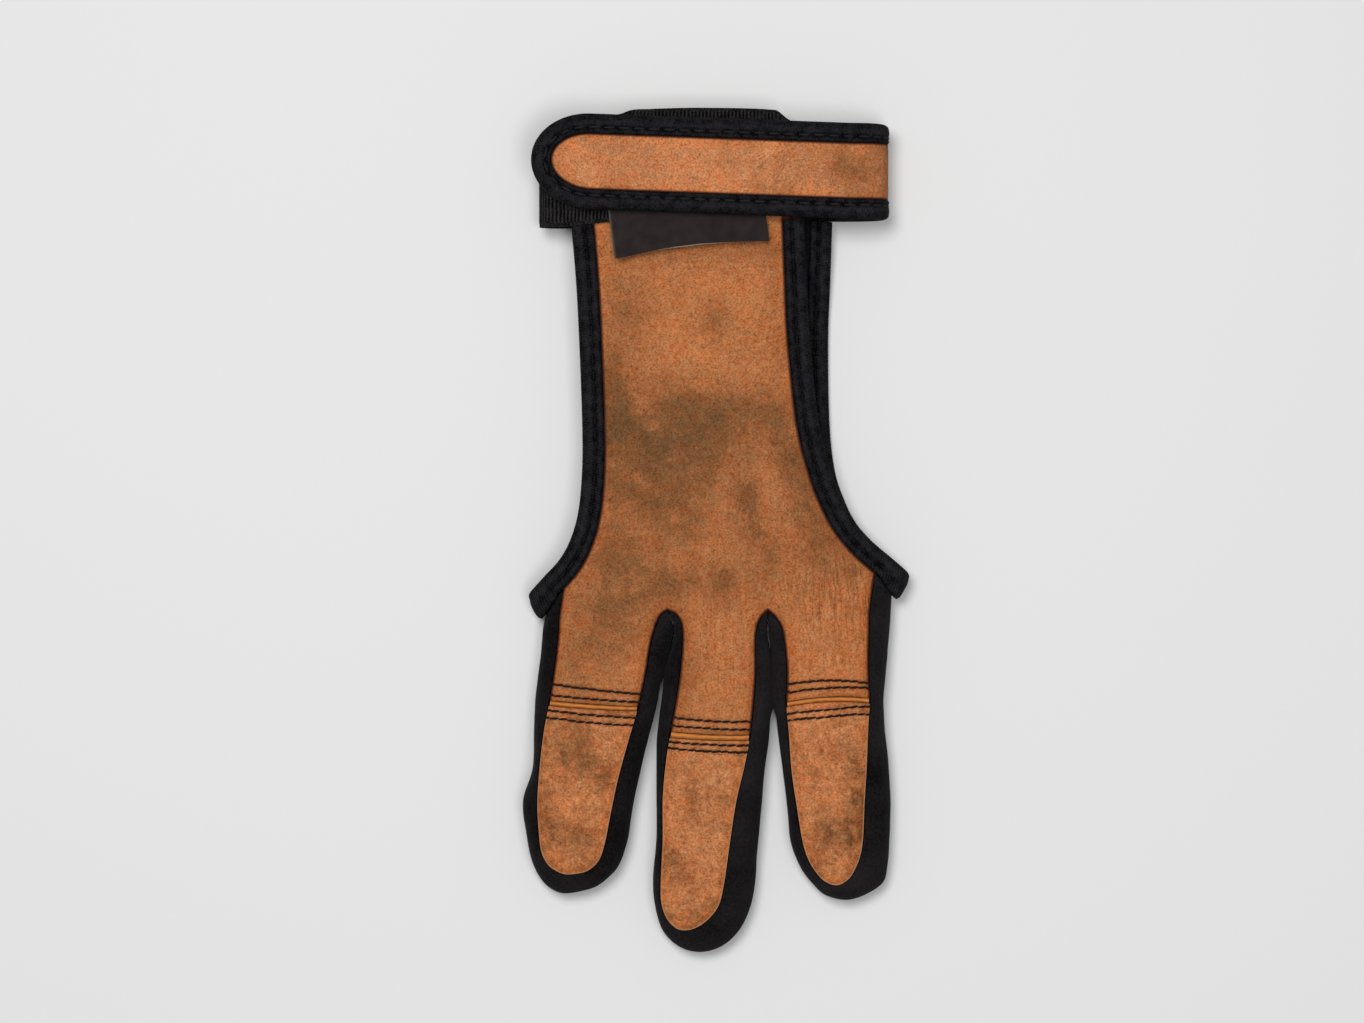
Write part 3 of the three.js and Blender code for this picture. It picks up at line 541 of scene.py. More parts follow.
def leather_finish(name, light, brown, olive, mottle, grooves, rim):
    """Waxed nubuck: a tan dye with olive clouds, a dense ragged grain, and painted shade in its fine
    creases, its folds and beside its stitches.

    A groove is (turn, width, length, fineness, depth, mark), and its mark says where it is."""
    material, tree, shader = finish(name, Specular_IOR_Level=0.1)
    place = place_in(tree)

    def speckle(size, detail, rough=0.5):
        return cloud(tree, place, 1000 / size, detail, rough)

    def creases(turn, wide, long, fine, depth, mark):
        stretched = {
            "Vector": place,
            "Rotation": (0, 0, np.radians(turn)),
            "Scale": (wide / 1000, long / 1000, 1),
        }
        place_on = node(tree, "ShaderNodeMapping", stretched, vector_type="TEXTURE").outputs[0]
        off = sums(tree, "ABSOLUTE", sums(tree, "SUBTRACT", cloud(tree, place_on, 1, 2), 0.5))
        return product(tree, spread(tree, off, 0.0, fine, depth, 0.0), mark_of(tree, mark))

    ragged = spread(tree, speckle(9, 6, 0.62), 0.3, 0.7, 0.5, 1.5)
    # The olive dye mark, which also holds the painted shadow under the label.
    dye_and_shadow = product(tree, mark_of(tree, "dye_and_shadow"), ragged)
    tone = sums(tree, "MULTIPLY_ADD", speckle(15, 5, 0.62), 0.8, -0.38)
    tone = sums(tree, "MULTIPLY_ADD", speckle(2.8, 4, 0.65), mottle, tone)
    tone = sums(tree, "ADD", sums(tree, "SUBTRACT", tone, mottle / 2), dye_and_shadow)
    grain = product(tree, speckle(0.52, 2, 0.8), 0.62)
    grain = sums(tree, "MULTIPLY_ADD", speckle(1.25, 4, 0.75), 0.38, grain)
    lines = 0.0
    for groove in grooves:
        lines = sums(tree, "MAXIMUM", lines, creases(*groove))
    shaded_creases = sums(tree, "MAXIMUM", lines, mark_of(tree, "fold"))
    seam = mark_of(tree, "seam")
    colour = blend(tree, spread(tree, tone, -0.08, 0.6), light, brown)
    colour = blend(tree, spread(tree, tone, 0.5, 1.1), colour, olive)
    tints = {
        "warm": (spread(tree, speckle(3.6, 4, 0.75), 0.42, 0.64, 0.0, 0.62), 1.14, 0.82, 0.6),
        "faded": (spread(tree, speckle(2.1, 4, 0.75), 0.45, 0.68, 0.0, 0.6), 0.80, 1.04, 1.15),
        "edge": (spread(tree, seam, 0.4, 3.6, 0.4, 0.0), 1.02, 0.78, 0.5),
        "dark grain": (spread(tree, grain, 0.36, 0.5, 1.0, 0.0), 0.60, 0.46, 0.32),
        "pale grain": (spread(tree, grain, 0.5, 0.63), 1.28, 1.48, 1.75),
        "pores": (spread(tree, speckle(0.8, 3, 0.8), 0.33, 0.4, 0.75, 0.0), 0.35, 0.25, 0.2),
        # Painted shade: the creases, the folds and the lines beside the stitch rows are darkened in
        # the colour.
        "shaded_creases": (product(tree, shaded_creases, 0.8), 0.36, 0.32, 0.32),
    }
    for share, *tint in tints.values():
        colour = blend(tree, share, colour, (*tint, 1), "MULTIPLY")
    # The rim is a line along the leather's edge: painted shadow on the palm and the strap, the pale
    # raw cut edge on the pads.
    rim_colour, rim_width = rim
    cut = spread(tree, seam, rim_width / 3, rim_width, 0.93, 0.0)
    colour = blend(tree, cut, colour, rim_colour)
    paint(tree, shader, colour, sums(tree, "MULTIPLY_ADD", lines, -0.8, grain), 0.0003, 0.8)
    rough = spread(tree, speckle(2.5, 3), 0.3, 0.7, 0.6, 0.85)
    tree.links.new(rough, shader.inputs["Roughness"])
    return material


TAN = (0.455, 0.162, 0.055, 1)
BROWN = (0.235, 0.088, 0.029, 1)
OLIVE = (0.135, 0.060, 0.020, 1)
PALM_GROOVES = [(4, 2.2, 16, 0.04, 0.7, "upright"), (-50, 2.0, 9, 0.03, 0.9, "slanted")]
# A painted shadow line along the leather's edge, where it meets the tape and the gussets.
EDGE_SHADOW = ((0.035, 0.008, 0.005, 1), 0.7)  # its colour and its width
palm_leather = leather_finish("palm_leather", TAN, BROWN, OLIVE, 0.4, PALM_GROOVES, EDGE_SHADOW)


def spot(points, x, y, wide, long):
    """1 at the middle of a soft spot, falling to 0 around it."""
    return bell(points[..., 0] - x, wide) * bell(points[..., 1] - y, long)


def stain_at(points):
    """How deep the olive dye lies at points, and the painted shadow under the label."""
    deepest = 1.3
    spots = [strength * spot(points, *place) for *place, strength in zip(*STAINS.values())]
    return np.clip(sum(spots), 0, deepest)


def seam_line(number):
    seam = seam_of(number, 0)[0]
    return smooth(seam, evenly(seam, 0, LAST, SEAM_STEP))


SEAM_LINES = [seam_line(number) for number in range(3)]
RIM_LAST = len(RIMS["left_along"]) - 1
RIM_LINES = {
    face: [cut_edge(gap, face, np.linspace(0, RIM_LAST, 400)) for gap in (HEEL, THUMB)]
    for face in ("front", "back")
}

# Rows of stitches over each joint: distances past it at the left, the middle and the right
JOINT_ROWS = {
    "ring": ([-4.9, -4.4, -3.9], [-2.1, -2.0, -1.8], [1.9, 2.1, 2.3], [3.9, 4.2, 4.4]),
    "middle": ([-4.7, -4.5, -4.4], [-2.6, -2.5, -2.3], [1.6, 1.6, 1.7], [3.4, 3.5, 3.6]),
    "index": ([-5.2, -5.0, -4.7], [-3.1, -3.0, -3.4], [2.6, 2.7, 1.5], [4.4, 4.7, 3.6]),
}


def bowed(finger, shares):
    """How far a finger's joint bows toward the tip, at shares of its width."""
    return finger.bow * 4 * shares * (1 - shares)


def joint_line(number, distances, shares):
    """A line across a finger near its joint, bowed as the joint is."""
    finger = FINGERS[number]
    seam = seam_of(number, 0)[0]
    distance = smooth(distances, np.asarray(shares) * (len(distances) - 1))
    ends = [joint_places(finger, d) for d in distance]
    left = smooth(seam, [end[0] for end in ends])
    right = smooth(seam, [end[1] for end in ends])
    shares = np.asarray(shares)[:, None]
    return left * (1 - shares) + right * shares + bowed(finger, shares) * finger.along


ACROSS = np.linspace(0, 1, 200)
ROW_LINES = [
    joint_line(number, row, ACROSS)
    for number, finger in enumerate(FINGERS)
    for row in JOINT_ROWS[finger.name]
]
SLOT_LINES = [
    joint_line(number, [edge], ACROSS)
    for number in range(3)
    for edge in (-JOINT_SLOT / 2, JOINT_SLOT / 2)
]


def below_web(points):
    """1 on the free part of the hand, 0 where the webbing holds it."""
    return 1 - ramp_up(points[..., 1], WEB_LOW - HEM_FLAT[0], WEB_LOW - HEM_FLAT[1])


def leather_grid(points, waves, shaded_creases):
    """The leather over a grid of points: rolled in at the seams, sunk under the stitches."""
    seam = distance_to(points, SEAM_LINES)
    row = distance_to(points, ROW_LINES)
    slot = distance_to(points, SLOT_LINES)
    bound = distance_to(points, RIM_LINES["front"]) - (BINDING_WIDTH - TAPE_FOLD)
    free = ramp_up(bound, 0, 4) * below_web(points)
    free = free * ramp_up(seam, 0, 2.5) * ramp_up(slot, 0.5, 2.5)
    roll = SEAM_DROP * bell(seam, SEAM_ROLL) + SLOT_DROP * bell(slot, SLOT_ROLL)
    sunk = ROW_SUNK * bell(row, ROW_WIDE)
    welt = WELT * bell(slot - WELT_PLACE, WELT_WIDE)
    height = front_top(points)
    top = height - roll - sunk + welt + free * (waves - CREASE * shaded_creases)
    marks = {
        "dye_and_shadow": stain_at(points),
        # The fold mark is painted shade in the creases and in a line beside each stitch row.
        "fold": np.maximum(shaded_creases * free, 0.75 * bell(row, 0.5)),
        "seam": np.clip(np.minimum(seam, bound), 0, 4),
        "upright": spot(points, 31, 3, 13, 15) + 0.45 * spot(points, 2, -6, 12, 18),
        "slanted": 0.45 * spot(points, 14, 70, 9, 13),
        "crinkle": np.clip(0.55 + 0.8 * ripple(points, 8, 8, 17), 0, 1),
    }
    return raised(points, top), raised(points, height - LEATHER - roll), marks


def palm_waves(points):
    """The palm's low waves, and its fine creases by the index finger and below the wrist, which are
    also painted darker as shade.
    """
    soft = 0.35 * ripple(points, 17, 22, 1) + 0.16 * ripple(points, 6, 7, 2)
    fine = 0.08 * ripple(points, 2.4, 2.8, 3)
    upright = bell(ripple(points, 3, 17, 4), 0.07) * spot(points, 31, 3, 12, 14)
    slanted = bell(ripple(points, 4, 9, 5, -40), 0.06) * spot(points, 14, 68, 8, 9)
    return soft + fine, 0.4 * np.clip(upright + 0.7 * slanted, 0, 1)


LANE = 36


def lane_of(finger, left, right, nearness):
    """Rows across a finger, each bowed as far as it is near the joint."""
    shares = np.linspace(0, 1, LANE + 1)
    bow = np.outer(nearness**2, bowed(finger, shares))
    return chord(left, right, shares) + bow[..., None] * finger.along


corners = [end[0] for end in seam_ends(0)]
lanes = []
for number, finger in enumerate(FINGERS):
    seam = seam_of(number, 0)[0]
    ends = joint_places(finger, -JOINT_SLOT / 2)
    runs = [evenly(seam, 0, ends[0], FINE), evenly(seam, LAST, ends[1], FINE)]
    count = max(len(run) for run in runs)
    left, right = (smooth(seam, resampled(run, count)) for run in runs)
    left[0], right[0] = corners[2 * number], corners[2 * number + 1]
    lanes.append(lane_of(finger, left, right, np.linspace(0, 1, count)))


def hand_rows(face, lane_starts):
    """Rows across the hand from the wrist down to where the fingers part."""
    edge = np.vstack([lane_starts[0], lane_starts[1][1:], lane_starts[2][1:]])
    shares = (edge[:, 0] - edge[0, 0]) / (edge[-1, 0] - edge[0, 0])
    r = evenly(getattr(HEEL, face), RIM_LAST, 0, COARSE)
    rows = chord(cut_edge(HEEL, face, r), cut_edge(THUMB, face, r), shares)
    top = [getattr(gap, f"{face}_beyond")[::-1] for gap in (HEEL, THUMB)]
    beyond = chord(np.vstack([top[0], rows[:1, 0]]), np.vstack([top[1], rows[:1, -1]]), shares)
    rise = np.linspace(0, 2, 41)[:-1]
    k = rise.astype(int)
    beyond = beyond[k] + (rise - k)[:, None, None] * (beyond[k + 1] - beyond[k])
    fall = np.linspace(0, 1, 18)[1:, None, None]
    return np.concatenate([beyond, rows, rows[-1] + fall * (edge - rows[-1])])


hand = hand_rows("front", [lane[0] for lane in lanes])
palm_grids = [leather_grid(grid, *palm_waves(grid)) for grid in [hand, *lanes]]
palm = sheet("palm", *palm_grids)
palm.data.materials.append(palm_leather)
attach(palm, "root")
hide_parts("palm_panel")

# The fingertip pads: the same leather, cut separately and butted to the palm at each joint.
# They have been rubbed by the bowstring, so they are crinkled and mottled darker, and the hollows of
# the crinkles are painted darker as shade.
PAD_TAN = (0.520, 0.196, 0.072, 1)
PAD_GROOVES = [(30, 3.6, 4.8, 0.06, 0.5, "crinkle"), (-25, 4.8, 3.4, 0.05, 0.45, "crinkle")]
RAW_RIM = ((0.40, 0.205, 0.11, 1), 0.34)
pad_leather = leather_finish("pad_leather", PAD_TAN, BROWN, OLIVE, 1.5, PAD_GROOVES, RAW_RIM)


def pad_waves(points):
    """Soft lumps with hollows between them, and a crease along the bottom of most hollows, which is
    also painted darker as shade.
    """
    swell = 0.4 * ripple(points, 7, 7, 11) + 0.2 * ripple(points, 1.7, 1.7, 13)
    bent = points + 0.8 * np.stack([ripple(points, 2.5, 2.5, 18), ripple(points, 2.5, 2.5, 19)], -1)
    hollow = bell(ripple(bent, 4.2, 5.0, 14, 30), 0.13)
    hollow = np.maximum(hollow, bell(ripple(bent, 5.4, 4.2, 15, -25), 0.11))
    hollow = hollow * ramp_up(ripple(points, 8, 8, 16), -0.5, 0.25)
    return swell - 0.45 * hollow, 0.42 * hollow


for number, finger in enumerate(FINGERS):
    seam = seam_of(number, 0)[0]
    ends = joint_places(finger, JOINT_SLOT / 2)
    left_run = evenly(seam, ends[0], TIP, FINE)
    right_run = resampled(evenly(seam, ends[1], TIP, FINE), len(left_run))
    nearness = 1 - np.linspace(0, 1, len(left_run))
    grid = lane_of(finger, smooth(seam, left_run), smooth(seam, right_run), nearness)
    pad = sheet(f"fingertip_{finger.name}", leather_grid(grid, *pad_waves(grid)))
    pad.data.materials.append(pad_leather)
    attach(pad, "root")
    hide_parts(f"tip_pad_{finger.name}")

# The joint strips: a strip of raw amber leather under each joint, where the palm and the pad
# butt together. It is sewn to both with two rows each, and its fold swells up in the slot.
JOINT_LAP = 5.5
UNDERLAY = 1.0
RIDGE_HALF = 0.66
RIDGE_SUNK = 0.5
RIDGE_END = 0.2
AMBER_DARK = (0.27, 0.090, 0.015, 1)
AMBER_PALE = (0.54, 0.198, 0.040, 1)
amber, tree, shader = finish("amber_edge", Roughness=0.75, Specular_IOR_Level=0.25)
fibre = cloud(tree, place_in(tree), 700, 5)
pale = spread(tree, fibre, 0.3, 0.7, 0, 0.4)
# The crown mark paints a highlight: the strip is paler along its ridge's top and darker down its
# sides, as painted highlight and shade.
pale = sums(tree, "MULTIPLY_ADD", mark_of(tree, "crown"), 0.7, pale)
paint(tree, shader, blend(tree, pale, AMBER_DARK, AMBER_PALE), fibre, 0.0002)

for number, finger in enumerate(FINGERS):
    distances = np.concatenate([
        np.linspace(-JOINT_LAP, -1, 12), np.linspace(-0.85, 0.85, 15), np.linspace(1, JOINT_LAP, 12),
    ])
    width = np.linalg.norm(finger.face_right[3] - finger.face_left[3])
    shares = np.linspace(RIDGE_END / width, 1 - RIDGE_END / width, 40)
    grid = np.stack([joint_line(number, [distance], shares) for distance in distances])
    under = front_top(grid) - LEATHER - GAP
    ridge = np.sqrt(np.clip(1 - np.abs(distances / RIDGE_HALF) ** 2.5, 0, 1))[:, None]
    wave = 0.22 * ripple(grid, 2.4, 1.4, 21)
    top = under + ridge * (LEATHER + GAP - RIDGE_SUNK + wave)
    # crown: where the painted highlight lies, on the ridge's top and along one line beside it
    crown = bell(distances + 0.08, 0.26) + 0.5 * bell(distances - 0.52, 0.12)
    crown = crown[:, None] + 0.5 * ripple(grid, 1.6, 0.7, 22)
    bottom = raised(grid, under - UNDERLAY)
    strip = sheet(f"joint_edge_{finger.name}", (raised(grid, top), bottom, {"crown": crown}))
    strip.data.materials.append(amber)
    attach(strip, "root")
    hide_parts(f"joint_strip_{finger.name}")

# The gussets: a wall of black stretch fabric round each finger, sewn to the leather in front
# and to the back panel behind. The seams are turned in, so it bulges out between two valleys.
VALLEY = 0.75
VALLEY_BEHIND = 0.4
WALL_STEP = 0.8


def sine(tree, value, pitch):
    """A sine wave of that pitch."""
    return sums(tree, "SINE", product(tree, value, 2 * np.pi / pitch))


def linted(tree, place, colour, scale, size, rare, strength, pale):
    """A colour with a few pale flecks of lint on it."""
    lint = node(tree, "ShaderNodeTexVoronoi", {"Vector": place, "Scale": scale}).outputs
    fleck = spread(tree, lint["Distance"], size, 0.06, 1.0, 0.0)
    fleck = product(tree, fleck, spread(tree, lint["Color"], rare, rare + 0.02))
    return blend(tree, product(tree, fleck, strength), colour, pale)


def knit_finish(name, dark, pale, wale):
    """Black knitted stretch fabric: fine wales and courses, a soft sheen and a little lint."""
    material, tree, shader = finish(
        name, Roughness=0.95, Specular_IOR_Level=0.05, Sheen_Weight=0.02, Sheen_Roughness=0.5
    )
    place = place_in(tree)
    along = sine(tree, mark_of(tree, "along"), wale)
    loops = product(tree, along, sine(tree, mark_of(tree, "around"), wale * 0.8))
    fuzz = cloud(tree, place, 1600, 3)
    worn = spread(tree, cloud(tree, place, 60, 3), 0.35, 0.7)
    shade = sums(tree, "MULTIPLY_ADD", loops, 0.25, worn)
    shade = sums(tree, "MULTIPLY_ADD", spread(tree, fuzz, 0.3, 0.7), 0.9, shade)
    colour = blend(tree, spread(tree, shade, 0.2, 1.7), dark, pale)
    colour = linted(tree, place, colour, 260, 0.035, 0.93, 0.5, (0.12, 0.11, 0.10, 1))
    paint(tree, shader, colour, sums(tree, "MULTIPLY_ADD", loops, 0.5, fuzz), 0.0002, 0.6)
    return material


KNIT_DARK = (0.0022, 0.0018, 0.0022, 1)
KNIT_PALE = (0.0160, 0.0135, 0.0140, 1)
stretch = knit_finish("stretch_fabric", KNIT_DARK, KNIT_PALE, 0.75)


def back_under(points):
    """Height of the back fabric's underside: flat under the fingers, clear of the tape above."""
    y = points[..., 1]
    hand = TAPE_FOLD * ramp_up(y, -KNUCKLE_RUN, 0)
    return hand + (BACK_AT_WRIST - hand) * ramp_up(y, WEB_LOW - WRIST_RUN, WEB_LOW)


def gusset_stations(number, pitch):
    """Points along a gusset's seam, its way out, and its width in front and behind."""
    seam, rim, tuck = seam_of(number, GAP / 2)
    places = evenly(rim, 0, LAST, pitch)
    point = smooth(seam, places)
    bulge = smooth(rim, places)
    reach = bulge - point
    width = np.linalg.norm(reach, axis=1)
    lower = np.maximum(GAP, width * (1 - smooth(tuck, places)))
    pressed = sum(
        by * ramp_up(bulge[:, 1], low - 2, low + 4) * (np.abs(bulge[:, 0] - x * KNUCKLE_WIDTH) < 8)
        for x, low, by in zip(CROTCHES["x"], CROTCHES["shut"], CROTCHES["pressed"])
    )
    return point, reach / width[:, None], width + pressed, lower


for number, finger in enumerate(FINGERS):
    point, out, width, lower = gusset_stations(number, WALL_STEP)
    top = front_top(point)[:, None]
    bottom = back_under(point)[:, None]
    middle = (top + bottom) / 2
    width, lower = width[:, None], lower[:, None]
    quarter = np.radians(np.linspace(0, 90, 12))
    tuck_in = VALLEY * bell(width * np.sin(quarter), 0.22 * width + 0.25)
    tuck_up = VALLEY_BEHIND * bell((width - lower) * np.cos(quarter), 0.6)
    walls = []
    for wall in (0, STRETCH):
        a = np.hstack([
            GAP + (width - wall - GAP) * np.sin(quarter),
            (lower + (width - wall - lower) * np.cos(quarter))[:, 1:],
        ])
        z = np.hstack([
            middle + (top - 0.15 - wall - middle) * np.cos(quarter) - tuck_in,
            (middle - (middle - bottom - wall) * np.sin(quarter) + tuck_up)[:, 1:],
        ])
        walls.append(raised(point[:, None, :] + a[..., None] * out[:, None, :], z))
    outer, inner = walls
    pucker = 0.14 * ripple(outer[..., :2] + 0.35 * outer[..., 2:], 4.5, 6, 31 + number)
    pucker = pucker * ramp_up(width, 1.5, 4) * np.sin(np.linspace(0, np.pi, outer.shape[1]))
    outer = outer + pucker[..., None] * unit(outer - inner)
    along = np.repeat(run_of(point)[:, None], outer.shape[1], 1)
    around = np.stack([run_of(row) for row in outer])
    gusset = sheet(f"finger_wall_{finger.name}", (outer, inner, {"along": along, "around": around}))
    gusset.data.materials.append(stretch)
    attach(gusset, "root")
    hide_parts(f"gusset_{finger.name}")

# The back: one panel of the same stretch fabric, from the fingertips to the wrist. It lies
# flat on the table, and its edges are taped at the hand openings as the leather's are.
SLANT_GAP = 0.5
BACK_STEP = 0.9
back_lanes = []
for number, finger in enumerate(FINGERS):
    seam, rim, tuck = seam_of(number, 0)
    half = evenly(rim, 0, TIP, BACK_STEP)
    other = resampled(evenly(rim, LAST, TIP, BACK_STEP), len(half))
    sides = []
    for places in (half, other):
        point = smooth(seam, places)
        reach = smooth(rim, places) - point
        width = np.linalg.norm(reach, axis=1, keepdims=True)
        lower = np.maximum(GAP, width * (1 - smooth(tuck, places)[:, None]))
        sides.append(point + reach / width * (lower - SLANT_GAP))
    back_lanes.append(chord(*sides, np.linspace(0, 1, 25)))


def fabric_grid(points, seams):
    """The back fabric over a grid of points, with low waves where nothing holds it."""
    seam = distance_to(points, seams)
    free = ramp_up(distance_to(points, RIM_LINES["back"]), BINDING_WIDTH - TAPE_FOLD, 9)
    free = free * below_web(points) * ramp_up(seam, 0, 3)
    waves = 0.22 * ripple(points, 14, 20, 41) + 0.08 * ripple(points, 5, 5, 42)
    under = back_under(points)
    lift = VALLEY_BEHIND * bell(seam, 0.6) + np.abs(waves) * free
    marks = {"along": points[..., 1], "around": points[..., 0]}
    return raised(points, under + STRETCH + lift), raised(points, under + lift), marks


back_seams = [np.vstack([lane[:, 0], lane[::-1, -1]]) for lane in back_lanes]
hand = hand_rows("back", [lane[0] for lane in back_lanes])
back = sheet("back", *[fabric_grid(grid, back_seams) for grid in [hand, *back_lanes]])
back.data.materials.append(stretch)
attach(back, "root")
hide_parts("back_panel")

# The bindings: black elastic tape, folded over the edges of both hand openings and sewn with
# one row. One length goes down the front rim, over the gusset's corner and up the back rim.
RIM_STITCH = 2.3  # from the tape's free edge to its row of stitches
STITCH_SUNK = 0.4
CORNER_TAB = {"heel_tape": 1.9, "thumb_tape": 1.5}
CORNER_FLAP = {"heel_tape": 1.3, "thumb_tape": 1.6}  # how much wider the tape lies as it turns
CORNER_SKEW = {"heel_tape": 1.6, "thumb_tape": 1.2}  # how far its free side runs past its fold
SKEW_RUN = 6.0
TAPE_NOSE = 1.3  # how far in from the fold the tape is rounded
LEG_STEPS = 18
TAPE_STEP = 0.65
TAPE_STITCH = 3.0
TAPE_PITCH = 3.9
TAPE_THREAD = 0.5


def tape_finish(name, dark, pale, rib):
    """Ribbed elastic tape: slanting ribs, painted paler where raised and darker where sunk as painted
    highlight and shade, with a rough fuzzy face.
    """
    material, tree, shader = finish(name, Roughness=0.9, Specular_IOR_Level=0.06)
    place = place_in(tree)
    around = mark_of(tree, "around")
    ribs = sine(tree, sums(tree, "MULTIPLY_ADD", around, 0.25, mark_of(tree, "along")), rib)
    rows = sine(tree, around, rib * 0.8)
    fuzz = cloud(tree, place, 1900, 3)
    cloth = 0.0
    for value, weight in (
        (product(tree, ribs, rows), 0.12),
        (ribs, 0.1),
        (spread(tree, fuzz, 0.34, 0.66), 0.5),
        (spread(tree, cloud(tree, place, 420, 4), 0.36, 0.64), 0.4),
        # high: the relief, painted paler where raised and darker where sunk, as painted highlight and
        # shade
        (mark_of(tree, "high"), 0.55),
    ):
        cloth = sums(tree, "MULTIPLY_ADD", value, weight, cloth)
    colour = blend(tree, spread(tree, cloth, 0.1, 1.15), dark, pale)
    colour = linted(tree, place, colour, 190, 0.03, 0.9, 0.4, (0.10, 0.095, 0.09, 1))
    relief = sums(tree, "MULTIPLY_ADD", ribs, 0.5, product(tree, rows, 0.25))
    paint(tree, shader, colour, sums(tree, "ADD", relief, fuzz), 0.00025, 0.8)
    return material


TAPE_DARK = (0.0014, 0.0012, 0.0018, 1)
TAPE_PALE = (0.0230, 0.0210, 0.0235, 1)
tape = tape_finish("binding_tape", TAPE_DARK, TAPE_PALE, 0.7)


def tape_profile(thickness, width):
    """The folded tape's outer and inner lines: a along the panel, b through its thickness."""
    slot = thickness / 2 + GAP
    half = slot + TAPE
    leg = TAPE_FOLD - width
    round_from = TAPE_FOLD - TAPE_NOSE
    flat = np.linspace(leg, round_from, LEG_STEPS)
    turn = np.radians(np.linspace(90, 0, 9))[1:]
    top_a = np.concatenate([flat, round_from + TAPE_NOSE * np.cos(turn)])
    top_b = np.concatenate([np.full(len(flat), half), half * np.sin(turn)])
    lined = np.concatenate([np.full(len(flat), slot), slot * np.sin(turn)])
    a = np.concatenate([top_a, top_a[-2::-1]])
    b = np.concatenate([top_b, -top_b[-2::-1]])
    under_b = np.concatenate([lined, -lined[-2::-1]])
    return a, b, np.minimum(a, GAP), under_b


def tape_sheet(name, origin, across, up, profile, inset, flap=0.0, skew=0.0):
    """Folded tape along stations, pressed in along its stitches, and the stitches' lines."""
    a, b, under_a, under_b = profile
    run = run_of(origin)
    in_from_edge = a - a[0]
    flap = np.broadcast_to(flap, len(run))
    straight = 1 - flap / max(flap.max(), 1)
    pulled = straight * (0.65 + 0.35 * np.cos(2 * np.pi * run / TAPE_PITCH))
    valley = STITCH_SUNK * bell(in_from_edge - inset, 0.5)
    swell = 0.16 * bell(in_from_edge - inset - 1.4, 0.7)
    swell = swell + 0.1 * bell(in_from_edge - inset / 2 + 0.2, 0.5)
    worn = 0.3 * bell(in_from_edge, 0.3)
    lumps = 0.08 * ripple(np.stack(np.meshgrid(a + b, run), -1), 2.2, 2.2, 71)
    shaped = np.sign(b) * (swell - worn - pulled[:, None] * valley + lumps)

    def laid(into, height):
        """One face of the tape, wider and skewed where it turns."""
        share = np.clip(into / into[0], 0, 1)
        skewed = np.sin(np.pi / 2 * np.clip(1.4 * share, 0, 1))[:, None] * skew
        line = origin[:, None] + (into - flap[:, None] * share)[..., None] * across[:, None]
        return line + height[..., None] * up[:, None] + skewed

    outer = laid(a, b + shaped)
    inner = laid(under_a, under_b)
    along, around = np.broadcast_arrays(run[:, None], run_of(np.stack([a, b], 1)))
    # high: the tape's relief, which the finish paints as highlight on the swells and shade in the
    # stitch valley and at the thinned edge
    marks = {"along": along, "around": around, "high": np.sign(b) * shaped / 0.35}
    row = int(np.argmin(np.abs(in_from_edge[:LEG_STEPS] - inset)))
    sewn = np.flatnonzero(flap == 0)
    rows = []
    for part in np.split(sewn, np.flatnonzero(np.diff(sewn) > 1) + 1):
        rows += [(outer[part, row], up[part]), (outer[part, -1 - row], -up[part])]
    return sheet(name, (outer, inner, marks)), rows


UP = np.array([0.0, 0.0, 1.0])


def opening_tape(name, gap):
    """An opening's tape down the front rim, round the corner and up the back rim."""
    parts = []
    for face, tucked, height, level, facing in (
        ("front", gap.tucked, front_top, -LEATHER / 2, 1),
        ("back", 0, back_under, STRETCH / 2, -1),
    ):
        r = evenly(getattr(gap, face), RIM_LAST + tucked, 0, TAPE_STEP)
        point, heading, into = rim_place(gap, face, r)
        origin = point + into * TAPE_FOLD
        inner = origin + into * (BINDING_WIDTH - TAPE_FOLD)
        start = raised(origin, height(origin) + level)
        across = unit(start - raised(inner, height(inner) + level))
        up = unit(np.cross(raised(heading, 0), across))
        parts.append((start, across, up * np.sign(up[:, 2:]) * facing))
    front, back = parts
    back = [part[::-1] for part in back]
    _, heading, into = rim_place(gap, "front", np.array([0.0]))
    out = -raised(heading, 0)[0]
    first, last = front[0][-1], back[0][0]
    centre = (first + last) / 2
    radius = (first[2] - last[2]) / 2
    angle = np.radians(np.linspace(0, 180, 20))[1:-1, None]
    around = UP * np.cos(angle) + out * np.sin(angle)
    lean = front[1][-1][2] * (1 - angle / np.pi)
    across = unit(-raised(into, 0) + around * lean)
    up = unit(around - (around * across).sum(1, keepdims=True) * across)
    tab = CORNER_TAB[name] * np.sin(angle) * out
    turned = (centre + around * radius + tab, across, up)
    origin, across, up = (np.vstack(three) for three in zip(front, turned, back))
    flap = np.concatenate([
        np.zeros(len(front[0])),
        CORNER_FLAP[name] * np.sin(angle[:, 0]) ** 0.5,
        np.zeros(len(back[0])),
    ])
    near = np.concatenate([
        ramp_up(-np.linalg.norm(front[0] - first, axis=1), -SKEW_RUN, 0),
        np.ones(len(angle)),
        ramp_up(-np.linalg.norm(back[0] - last, axis=1), -SKEW_RUN, 0),
    ])
    skew = CORNER_SKEW[name] * near[:, None, None] * out
    profile = tape_profile(LEATHER, BINDING_WIDTH)
    return tape_sheet(name, origin, across, up, profile, RIM_STITCH, flap, skew)


def shape_tree(name, numbers, material):
    """A new tree for shapes with named inputs, and what its inputs give."""
    tree = bpy.data.node_groups.new(name, "GeometryNodeTree")
    inputs = [("Geometry", "Geometry"), *((number, "Float") for number in numbers)]
    for label, kind in [*inputs, (material, "Material")]:
        tree.interface.new_socket(label, in_out="INPUT", socket_type="NodeSocket" + kind)
    tree.interface.new_socket("Geometry", in_out="OUTPUT", socket_type="NodeSocketGeometry")
    return tree, node(tree, "NodeGroupInput").outputs


